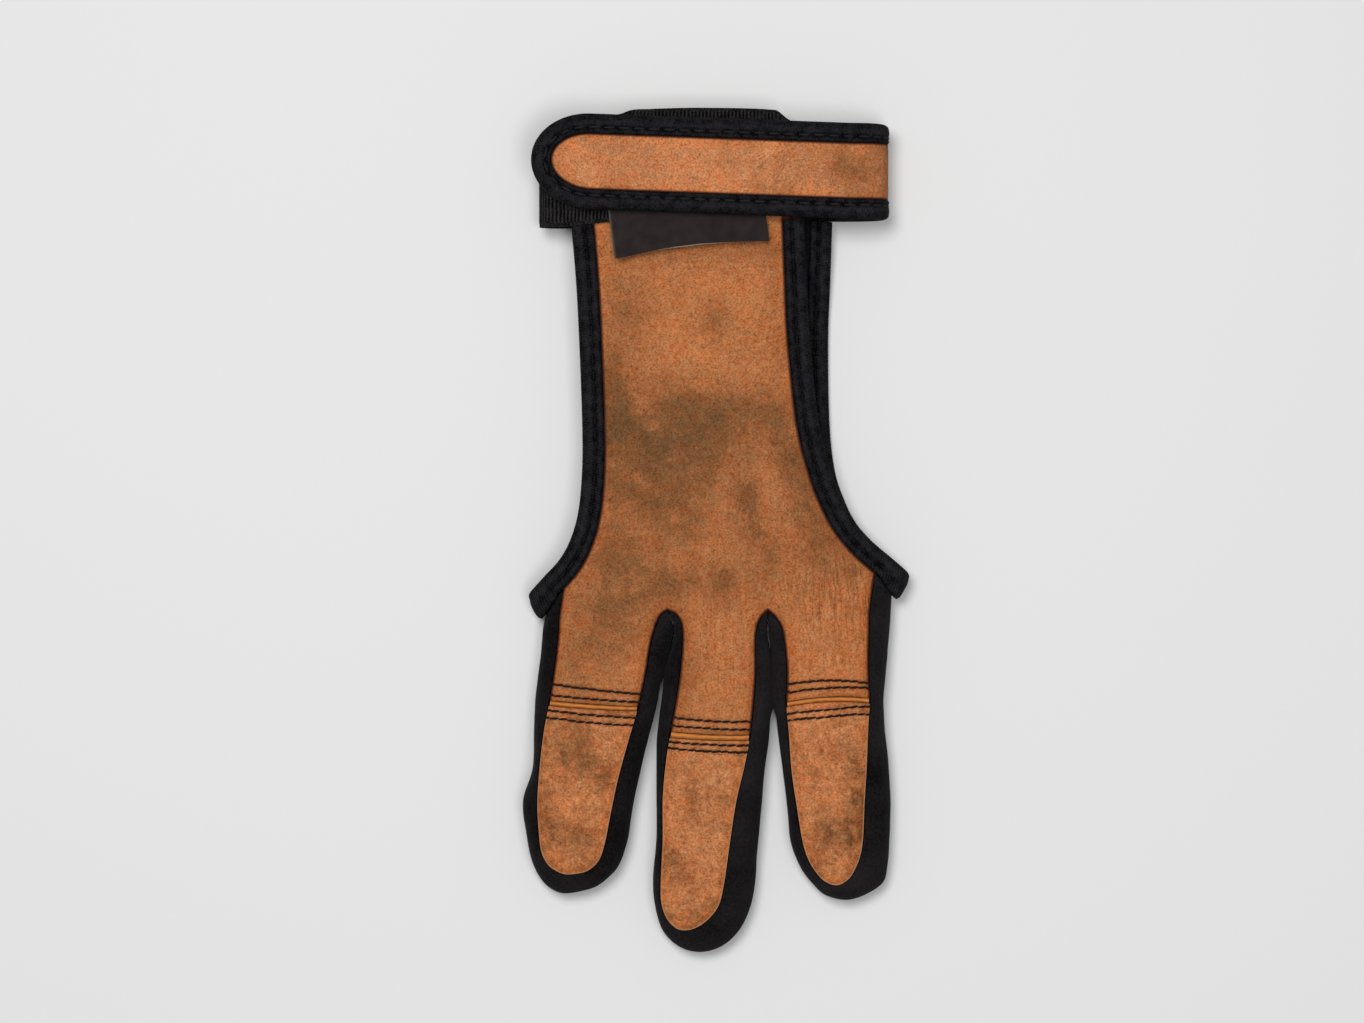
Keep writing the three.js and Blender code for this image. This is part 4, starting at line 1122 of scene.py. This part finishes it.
def running_stitch():
    """A tree that sews a row of stitches along each line, lying flat on the given face."""
    numbers = ("Stitch Length", "Pitch", "Thread Width", "Slant")
    tree, given = shape_tree("running_stitch", numbers, "Thread")
    curve = node(tree, "GeometryNodeMeshToCurve", {"Mesh": given["Geometry"]}).outputs[0]
    places = node(tree, "GeometryNodeResampleCurve", {"Curve": curve, "Length": given["Pitch"]},
                  mode="LENGTH").outputs[0]
    tangent = node(tree, "GeometryNodeInputTangent").outputs[0]
    facing = node(tree, "GeometryNodeInputNamedAttribute", {"Name": "facing"},
                  data_type="FLOAT_VECTOR").outputs[0]
    lying = node(tree, "FunctionNodeAlignRotationToVector", {"Vector": tangent}, axis="X")
    turned = node(tree, "FunctionNodeAlignRotationToVector",
                  {"Rotation": lying.outputs[0], "Vector": facing}, axis="Z", pivot_axis="X")
    slant = node(tree, "ShaderNodeCombineXYZ", {"Z": given["Slant"]}).outputs[0]
    turned = node(tree, "FunctionNodeRotateRotation",
                  {"Rotation": turned.outputs[0], "Rotate By": slant}, rotation_space="LOCAL")
    ball = node(tree, "GeometryNodeMeshUVSphere", {"Segments": 10, "Rings": 8, "Radius": 0.5})
    half = product(tree, given["Thread Width"], 0.9)
    size = node(tree, "ShaderNodeCombineXYZ", {"X": half, "Y": given["Thread Width"],
                                               "Z": given["Stitch Length"]}).outputs[0]
    along = node(tree, "GeometryNodeTransform", {"Geometry": ball.outputs[0], "Scale": size})
    along = node(tree, "GeometryNodeTransform",
                 {"Geometry": along.outputs[0], "Rotation": (0, np.pi / 2, 0)}).outputs[0]
    place = node(tree, "GeometryNodeInputPosition").outputs[0]
    kept = node(tree, "GeometryNodeStoreNamedAttribute",
                {"Geometry": along, "Name": "twist", "Value": place}, data_type="FLOAT_VECTOR")
    sewn = node(tree, "GeometryNodeInstanceOnPoints",
                {"Points": places, "Instance": kept.outputs[0], "Rotation": turned.outputs[0]})
    real = node(tree, "GeometryNodeRealizeInstances", {"Geometry": sewn.outputs[0]}).outputs[0]
    soft = node(tree, "GeometryNodeSetShadeSmooth", {"Geometry": real}).outputs[0]
    dyed = node(tree, "GeometryNodeSetMaterial", {"Geometry": soft, "Material": given["Thread"]})
    node(tree, "NodeGroupOutput", {0: dyed.outputs[0]})
    return tree


STITCHES = running_stitch()


def sew(name, rows, length, pitch, width, thread, slant=0.0):
    """Rows of stitches along lines, each with the face that it lies on."""
    points = []
    facing = []
    edges = []
    for line, up in rows:
        edges += [(len(points) + i, len(points) + i + 1) for i in range(len(line) - 1)]
        points += ((line + ORIGIN) / 1000).tolist()
        facing += np.broadcast_to(up, line.shape).tolist()
    mesh = bpy.data.meshes.new(name)
    mesh.from_pydata(points, edges, [])
    layer = mesh.attributes.new("facing", "FLOAT_VECTOR", "POINT")
    layer.data.foreach_set("vector", np.ravel(facing).astype(np.float32))
    piece = bpy.data.objects.new(name, mesh)
    bpy.context.scene.collection.objects.link(piece)
    values = {
        "Stitch Length": length / 1000,
        "Pitch": pitch / 1000,
        "Thread Width": width / 1000,
        "Slant": np.radians(slant),
        "Thread": thread,
    }
    return grown(piece, STITCHES, values)


def grown(piece, tree, values):
    """Runs a tree on a piece and keeps its result as a plain mesh."""
    modifier = piece.modifiers.new(tree.name, "NODES")
    modifier.node_group = tree
    for item in tree.interface.items_tree:
        if item.in_out == "INPUT" and item.name in values:
            modifier[item.identifier] = values[item.name]
    shape = piece.evaluated_get(bpy.context.evaluated_depsgraph_get())
    mesh = bpy.data.meshes.new_from_object(shape)
    piece.modifiers.clear()
    piece.data = mesh
    return piece


def thread_finish(name, colour, pale):
    """Twisted thread, with its two plies wound along the stitch."""
    ply_pitch = 0.0005
    material, tree, shader = finish(name, Roughness=0.7, Specular_IOR_Level=0.12)
    twist = node(tree, "ShaderNodeAttribute", attribute_name="twist").outputs["Vector"]
    parts = node(tree, "ShaderNodeSeparateXYZ", {0: twist}).outputs
    wound = sine(tree, sums(tree, "ADD", parts[0], parts[1]), ply_pitch)
    plies = spread(tree, wound, -1.0, 1.0)
    paint(tree, shader, blend(tree, plies, colour, pale), plies, 0.0001)
    return material


black_thread = thread_finish("black_thread", (0.004, 0.0025, 0.0022, 1), (0.020, 0.013, 0.011, 1))
tape_thread = thread_finish("tape_thread", (0.003, 0.003, 0.004, 1), (0.026, 0.025, 0.028, 1))
rim_thread = thread_finish("rim_thread", (0.002, 0.002, 0.002, 1), (0.009, 0.008, 0.009, 1))
for name, gap in (("heel", HEEL), ("thumb", THUMB)):
    binding, rows = opening_tape(f"{name}_tape", gap)
    binding.data.materials.append(tape)
    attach(binding, "root")
    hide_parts(f"{name}_binding")
    stitches = sew(f"{name}_tape_stitches", rows, TAPE_STITCH, TAPE_PITCH, TAPE_THREAD, rim_thread)
    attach(stitches, "root")

# The joint stitching: four rows of black thread over each joint, two through the palm leather
# and two through the pad, pulled tight so that each row sinks into the leather.
JOINT_STITCH = 2.55
JOINT_PITCH = 2.2
JOINT_THREAD = 0.66
JOINT_SLANT = 8
JOINT_PROUD = 0.12
JOINT_SWAY = 0.2
rows = []
for number, line in enumerate(ROW_LINES):
    swaying = line + np.outer(JOINT_SWAY * ripple(line, 2.6, 2.6, 51), [0, 1])
    waves = palm_waves if number % 4 < 2 else pad_waves
    top = leather_grid(swaying[None], *waves(swaying[None]))[0][0]
    rows.append((top + UP * JOINT_PROUD, UP))
sizes = (JOINT_STITCH, JOINT_PITCH, JOINT_THREAD)
joint_stitches = sew("joint_stitches", rows, *sizes, black_thread, JOINT_SLANT)
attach(joint_stitches, "root")

# The wrist webbing: black ribbed elastic, sewn to the palm side, folded round the little
# finger's side of the wrist and sewn to the back. The strap's end closes on it.
WEB_FOLD = 46.5
WEB_TAIL = 14
WEB_BACK = BACK_AT_WRIST - GAP - WEBBING / 2
WEB_RADIUS = (WEB_FRONT - WEB_BACK) / 2
WEB_TURN = WEB_FOLD - WEB_RADIUS - WEBBING / 2
RIB_PITCH = 0.95
RIB_HEIGHT = 0.14
SELVEDGE = 1.0
WEB_STEP = 0.24
WEB_EDGES = table(
    "along upper lower",
    [0, 0.11, 0.87],
    [0.06, 0.02, 0.88],
    [0.36, 0, 0.94],
    [0.6, 0.01, 0.99],
    [0.72, 0.045, 1.01],
    [1, 0.285, 1.065],
)


def band(start, turn, facing, top, bottom, tail, pitch):
    """A band's middle line: straight, round one side of the wrist, and back underneath."""
    radius = (top - bottom) / 2
    front = np.linspace(start, facing * turn, max(2, int(abs(start - facing * turn) / pitch)))
    angle = np.linspace(0, np.pi, int(np.pi * radius / pitch))[1:-1]
    rear = np.linspace(facing * turn, -tail, max(2, int((turn + tail) / pitch)))
    x = np.concatenate([front, facing * (turn + radius * np.sin(angle)), rear])
    z = np.concatenate([
        np.full(len(front), top), bottom + radius * (1 + np.cos(angle)), np.full(len(rear), bottom),
    ])
    tilt = np.concatenate([np.zeros(len(front)), angle, np.full(len(rear), np.pi)])
    normal = np.stack([facing * np.sin(tilt), np.zeros(len(x)), np.cos(tilt)], 1)
    return x, z, normal, len(front)


def band_grid(x, z, normal, low, high, thickness, columns, swell=0.0):
    """A band of material about its middle line, between its low and high edges."""
    share = np.linspace(0, 1, columns)
    y = low[:, None] + (high - low)[:, None] * share
    middle = raised(np.stack(np.broadcast_arrays(x[:, None], y), -1), z[:, None])
    along = run_of(np.stack([x, z], 1))
    edge = np.minimum(y - low[:, None], high[:, None] - y)
    marks = {
        "along": np.broadcast_to(along[:, None], y.shape),
        "around": y,
        "hem": edge,
        # high: the ribs' relief, which the finish paints as highlight on each rib and shade between
        # them
        "high": np.sin(2 * np.pi * along / RIB_PITCH)[:, None] * (edge > SELVEDGE),
    }
    lift = np.asarray(swell)[..., None] * normal[:, None]
    outer = middle + normal[:, None] * thickness / 2 + lift
    return outer, middle - normal[:, None] * thickness / 2, marks


x, z, normal, front_count = band(WEB_END, WEB_TURN, -1, WEB_FRONT, WEB_BACK, WEB_TAIL, WEB_STEP)
share = np.clip((WEB_END - x) / (WEB_END + WEB_TURN), 0, 1)
share[front_count:] = 1
low, high = (HAND_LENGTH - read_at(WEB_EDGES, edge, share) * WEB_WIDTH for edge in ("lower", "upper"))
web = sheet("wrist_elastic", band_grid(x, z, normal, low, high, WEBBING, 40))


def ribbed():
    """A tree that raises ribs across a band, and leaves its selvedges smooth."""
    tree, given = shape_tree("ribs", ("Rib Pitch", "Rib Height", "Selvedge"), "Webbing")

    def mark(name):
        return node(tree, "GeometryNodeInputNamedAttribute", {"Name": name}).outputs[0]

    phase = sums(tree, "DIVIDE", product(tree, mark("along"), 2 * np.pi), given["Rib Pitch"])
    inside = sums(tree, "GREATER_THAN", mark("hem"), given["Selvedge"])
    height = product(tree, product(tree, sums(tree, "SINE", phase), inside), given["Rib Height"])
    normal = node(tree, "GeometryNodeInputNormal").outputs[0]
    offset = node(tree, "ShaderNodeVectorMath", {0: normal, 3: height}, operation="SCALE").outputs[0]
    moved = node(tree, "GeometryNodeSetPosition", {"Geometry": given["Geometry"], "Offset": offset})
    real = node(tree, "GeometryNodeRealizeInstances", {"Geometry": moved.outputs[0]}).outputs[0]
    dyed = node(tree, "GeometryNodeSetMaterial", {"Geometry": real, "Material": given["Webbing"]})
    node(tree, "NodeGroupOutput", {0: dyed.outputs[0]})
    return tree


WEB_DARK = (0.0016, 0.0014, 0.0018, 1)
WEB_PALE = (0.0340, 0.0305, 0.0310, 1)
webbing = tape_finish("ribbed_elastic", WEB_DARK, WEB_PALE, RIB_PITCH)
web = grown(web, ribbed(), {
    "Rib Pitch": RIB_PITCH,
    "Rib Height": RIB_HEIGHT / 1000,
    "Selvedge": SELVEDGE,
    "Webbing": webbing,
})
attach(web, "root")
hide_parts("wrist_web")

# The strap: leather with tape folded round its edge. It comes from the back, folds round the
# thumb's side of the wrist and closes over the webbing with its rounded end.
STRAP_BINDING = 5.2
STRAP_STITCH = 1.5
STRAP_THREAD = 0.62
STRAP_TIP = 48.5
STRAP_GROOVES = [(-42, 2.6, 12, 0.07, 0.55, "slanted")]
STRAP_END = 15.5
STRAP_TAIL = 13
STRAP_HALF = STRAP_WIDTH / 2 - TAPE_FOLD
STRAP_COLUMNS = 44
STRAP_STEP = 0.7
STRAP_TAN = (0.640, 0.246, 0.101, 1)
END_LENGTH = STRAP_END - TAPE_FOLD
END_START = STRAP_END - STRAP_TIP
x, z, normal, front_count = band(
    END_START, STRAP_TURN, 1, STRAP_FRONT, STRAP_BACK, STRAP_TAIL, STRAP_STEP
)
centre = strap_centre(np.where(np.arange(len(x)) < front_count, x, STRAP_TURN))
angle = np.radians(np.linspace(0, 90, 34))[:-1]
end_x = END_START - END_LENGTH * np.cos(angle)
strap_x = np.concatenate([end_x, x])
strap_z = np.concatenate([np.full(len(angle), STRAP_FRONT), z])
strap_normal = np.vstack([np.tile(UP, (len(angle), 1)), normal])
half = np.concatenate([STRAP_HALF * np.sin(angle), np.full(len(x), STRAP_HALF)])
middle = np.concatenate([strap_centre(end_x), centre])
low, high = middle - half, middle + half
across = middle[:, None] + np.outer(half, np.linspace(-1, 1, STRAP_COLUMNS))
plan = np.stack(np.broadcast_arrays(strap_x[:, None], across), -1)
on_top = slice(0, len(angle) + front_count)
behind = slice(len(angle) + front_count, None)
outline = [np.stack([strap_x, edge], 1)[on_top] for edge in (low, high)]
inset = np.vstack([
    distance_to(plan[on_top], outline),
    np.minimum(*[np.abs(across - edge[:, None])[behind] for edge in (low, high)]),
])
tape_edge = STRAP_BINDING - TAPE_FOLD
showing = ramp_up(inset, tape_edge - 0.3, STRAP_BINDING + 1.5)
swell = showing * (0.3 + 0.16 * ripple(plan, 12, 8, 61) + 0.06 * ripple(plan, 3, 3, 62))
strap_leather = leather_finish(
    "strap_leather", STRAP_TAN, BROWN, OLIVE, 0.3, STRAP_GROOVES, EDGE_SHADOW
)
along = plan[..., 0]
creased = bell(along - 15, 9)
scratch = bell(ripple(plan, 2.6, 14, 63, -38), 0.055) * creased
scratch = np.clip(scratch + 0.5 * bell(ripple(plan, 2.2, 12, 64, -32), 0.04), 0, 1)
swell = swell - 0.1 * showing * scratch
bend = np.clip(strap_normal[:, :1], 0, 1)  # the leather swells out flush with the tape at the fold
flush = ramp_up(inset, tape_edge - 0.6, tape_edge - 0.1)
swell = swell + (flush * 1.05 - showing * 0.2) * bend
line = (strap_x, strap_z, strap_normal)
outer, inner, _ = band_grid(*line, low, high, LEATHER, STRAP_COLUMNS, swell)
# The strap is made darker toward the fold, over the fold's curve, toward its tip and across its
# crease, through the olive mark.
strap_darkening = 0.34 * ramp_up(along, 14, 34) + 0.2 * ramp_up(along, 39, 45)
strap_darkening = strap_darkening + 0.12 * creased + 0.14 * (1 - ramp_up(along, -38, -12))
marks = {
    "dye_and_shadow": 0.7 * strap_darkening + 0.12,
    # The scratches are painted darker, as painted shade in them.
    "fold": scratch * 0.4,
    "seam": np.clip(inset - tape_edge, 0, 4),
    "upright": np.zeros(inset.shape),
    "slanted": 0.85 * creased,
}
strap = sheet("strap", (outer, inner, marks))
strap.data.materials.append(strap_leather)
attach(strap, "root")
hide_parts("strap_leather")

angle = np.radians(np.linspace(-90, 90, 60))[1:-1]
end_x = END_START - END_LENGTH * np.cos(angle)
end_y = strap_centre(end_x) + STRAP_HALF * np.sin(angle)
out = unit(np.stack([-np.cos(angle) / END_LENGTH, np.sin(angle) / STRAP_HALF], 1))
around_end = raised(np.stack([end_x, end_y], 1), STRAP_FRONT)
around_end = (around_end, raised(out, 0), np.tile(UP, (len(angle), 1)))
sides = []
for facing in (-1, 1):
    edge = np.stack([x, centre + facing * STRAP_HALF, z], 1)
    sides.append((edge[::facing], np.tile([0.0, facing, 0.0], (len(x), 1)), normal[::facing]))
origin, across, up = (np.vstack(three) for three in zip(sides[0], around_end, sides[1]))
profile = tape_profile(LEATHER, STRAP_BINDING)
strap_tape, rows = tape_sheet("strap_tape", origin, across, up, profile, STRAP_STITCH)
strap_tape.data.materials.append(tape)
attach(strap_tape, "root")
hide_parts("strap_binding")
strap_stitches = sew("strap_stitches", rows, TAPE_STITCH, TAPE_PITCH, STRAP_THREAD, tape_thread)
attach(strap_stitches, "root")

# The closure's patch, hidden under the strap's end: black hook tape with a rough pile. It shows
# from no side, so the plain block from the CAD model is kept and only gets its finish.
HOOK_PALE = (0.016, 0.015, 0.016, 1)
HOOK_DARK = (0.004, 0.004, 0.004, 1)
hook, tree, shader = finish("hook_tape", Roughness=0.95, Specular_IOR_Level=0.1)
pile = node(tree, "ShaderNodeTexVoronoi", {"Vector": place_in(tree), "Scale": 900})
pile = pile.outputs["Distance"]
paint(tree, shader, blend(tree, pile, HOOK_PALE, HOOK_DARK), pile, 0.0006)
hook_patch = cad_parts["hook_patch"]
hook_patch.data.materials.clear()
hook_patch.data.materials.append(hook)

# The label: a plain folded piece of black woven cloth, sewn in under the strap. Its free end
# curls up off the leather and is longer at one corner.
LABEL_WIDTH = 41
LABEL_OFFSET = 8
LABEL_TUCKED = 8
LABEL_DROP = 12.5
LABEL_LEAN = 0.13
LABEL_CURL = 1.3
PLY = 0.42
PLY_GAP = 0.1
LABEL_EDGE = table("across drop", [-0.5, 1], [-0.2, 0.77], [0.05, 0.62], [0.5, 0.52])
YARN = 0.0004
CLOTH_DARK = (0.0140, 0.0108, 0.0102, 1)
CLOTH_PALE = (0.0290, 0.0225, 0.0212, 1)
CLOTH_RAW = (0.30, 0.27, 0.22, 1)
cloth, tree, shader = finish("label_cloth", Roughness=0.9, Specular_IOR_Level=0.1)
place = place_in(tree)
parts = node(tree, "ShaderNodeSeparateXYZ", {0: place}).outputs
weave = product(tree, sine(tree, parts[0], YARN), sine(tree, parts[1], YARN))
shade = sums(tree, "MULTIPLY_ADD", weave, 0.2, cloud(tree, place, 300, 4))
colour = blend(tree, spread(tree, shade, 0.2, 0.9), CLOTH_DARK, CLOTH_PALE)
colour = blend(tree, mark_of(tree, "raw"), colour, CLOTH_RAW)
paint(tree, shader, colour, weave, 0.00006, 0.5)

share = np.linspace(-0.5, 0.5, 60)
down = np.concatenate([[-LABEL_TUCKED / LABEL_DROP, -0.3], np.linspace(0, 1, 26)])[:, None]
hanging = np.clip(down, 0, 1)
drop = read_at(LABEL_EDGE, "drop", share)
label_x = share * LABEL_WIDTH - LABEL_OFFSET
plies = []
for face, longer in ((1, 0.0), (-1, 0.35)):
    reach = np.where(down > 0, down * drop, down) * LABEL_DROP
    reach = reach + longer * hanging * bell(share, 0.18)
    y = strap_centre(label_x) - STRAP_WIDTH / 2 - reach
    points = np.stack([label_x + LABEL_LEAN * reach, y], -1)
    curl = (LABEL_CURL + 0.25 * np.sin(share * 9 + 1)) * hanging**2
    z = LABEL_MIDDLE + curl + face * (PLY + PLY_GAP) / 2
    ends = 0.22 * bell((share + 0.5) * LABEL_WIDTH, 0.25) * (down > -0.1)
    hem = (face < 0) * bell((1 - down) * LABEL_DROP, 0.4)
    raw = np.clip(ends + hem, 0, 1)
    plies.append((raised(points, z + PLY / 2), raised(points, z - PLY / 2), {"raw": raw}))
label = sheet("label_plain", *plies)
label.data.materials.append(cloth)
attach(label, "root")
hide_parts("label")

# The studio: a pale floor, a wide soft light above the fingers' end and a weaker one opposite,
# and a long lens straight above the palm.
PHOTO_WIDE = 1364  # pixels of the photograph's frame
MILLIMETRES_A_PIXEL = 0.26
AIM = np.array([-9.36, 25.61])
LENS = 150
SENSOR = 36
FLOOR_REACH = 3.0
FLOOR_GREY = (0.69, 0.69, 0.69, 1)
floor_mesh = bpy.data.meshes.new("floor")
signs = ((-1, -1), (1, -1), (1, 1), (-1, 1))
floor_mesh.from_pydata([(x * FLOOR_REACH, y * FLOOR_REACH, 0) for x, y in signs], [], [range(4)])
floor = bpy.data.objects.new("floor", floor_mesh)
bpy.context.scene.collection.objects.link(floor)
floor_paint, *_ = finish("floor", Base_Color=FLOOR_GREY, Roughness=0.9, Specular_IOR_Level=0.1)
floor.data.materials.append(floor_paint)


def soft_light(name, place, size, power, aim):
    lamp = bpy.data.lights.new(name, "AREA")
    lamp.shape = "DISK"
    lamp.size = size
    lamp.energy = power
    made = bpy.data.objects.new(name, lamp)
    made.location = place
    made.rotation_mode = "QUATERNION"
    made.rotation_quaternion = (Vector(aim) - Vector(place)).to_track_quat("-Z", "Y")
    bpy.context.scene.collection.objects.link(made)


soft_light("key", (-0.24, 0.34, 1.34), 0.55, 12.4, (0, 0, 0))
soft_light("fill", (0.22, -0.2, 1.37), 0.55, 6.6, (0, 0, 0))
world = bpy.data.worlds.new("studio")
world.use_nodes = True
world.node_tree.nodes["Background"].inputs["Color"].default_value = (1, 1, 1, 1)
world.node_tree.nodes["Background"].inputs["Strength"].default_value = 0.24
bpy.context.scene.world = world
bpy.context.scene.view_settings.view_transform = "Standard"

camera_data = bpy.data.cameras.new("camera")
camera_data.lens = LENS
camera_data.sensor_width = SENSOR
camera = bpy.data.objects.new("camera", camera_data)
aim = (np.append(AIM, 12) + ORIGIN) / 1000
distance = PHOTO_WIDE * MILLIMETRES_A_PIXEL / 1000 * LENS / SENSOR
camera.location = (aim[0], aim[1], aim[2] + distance)
bpy.context.scene.collection.objects.link(camera)
bpy.context.scene.camera = camera
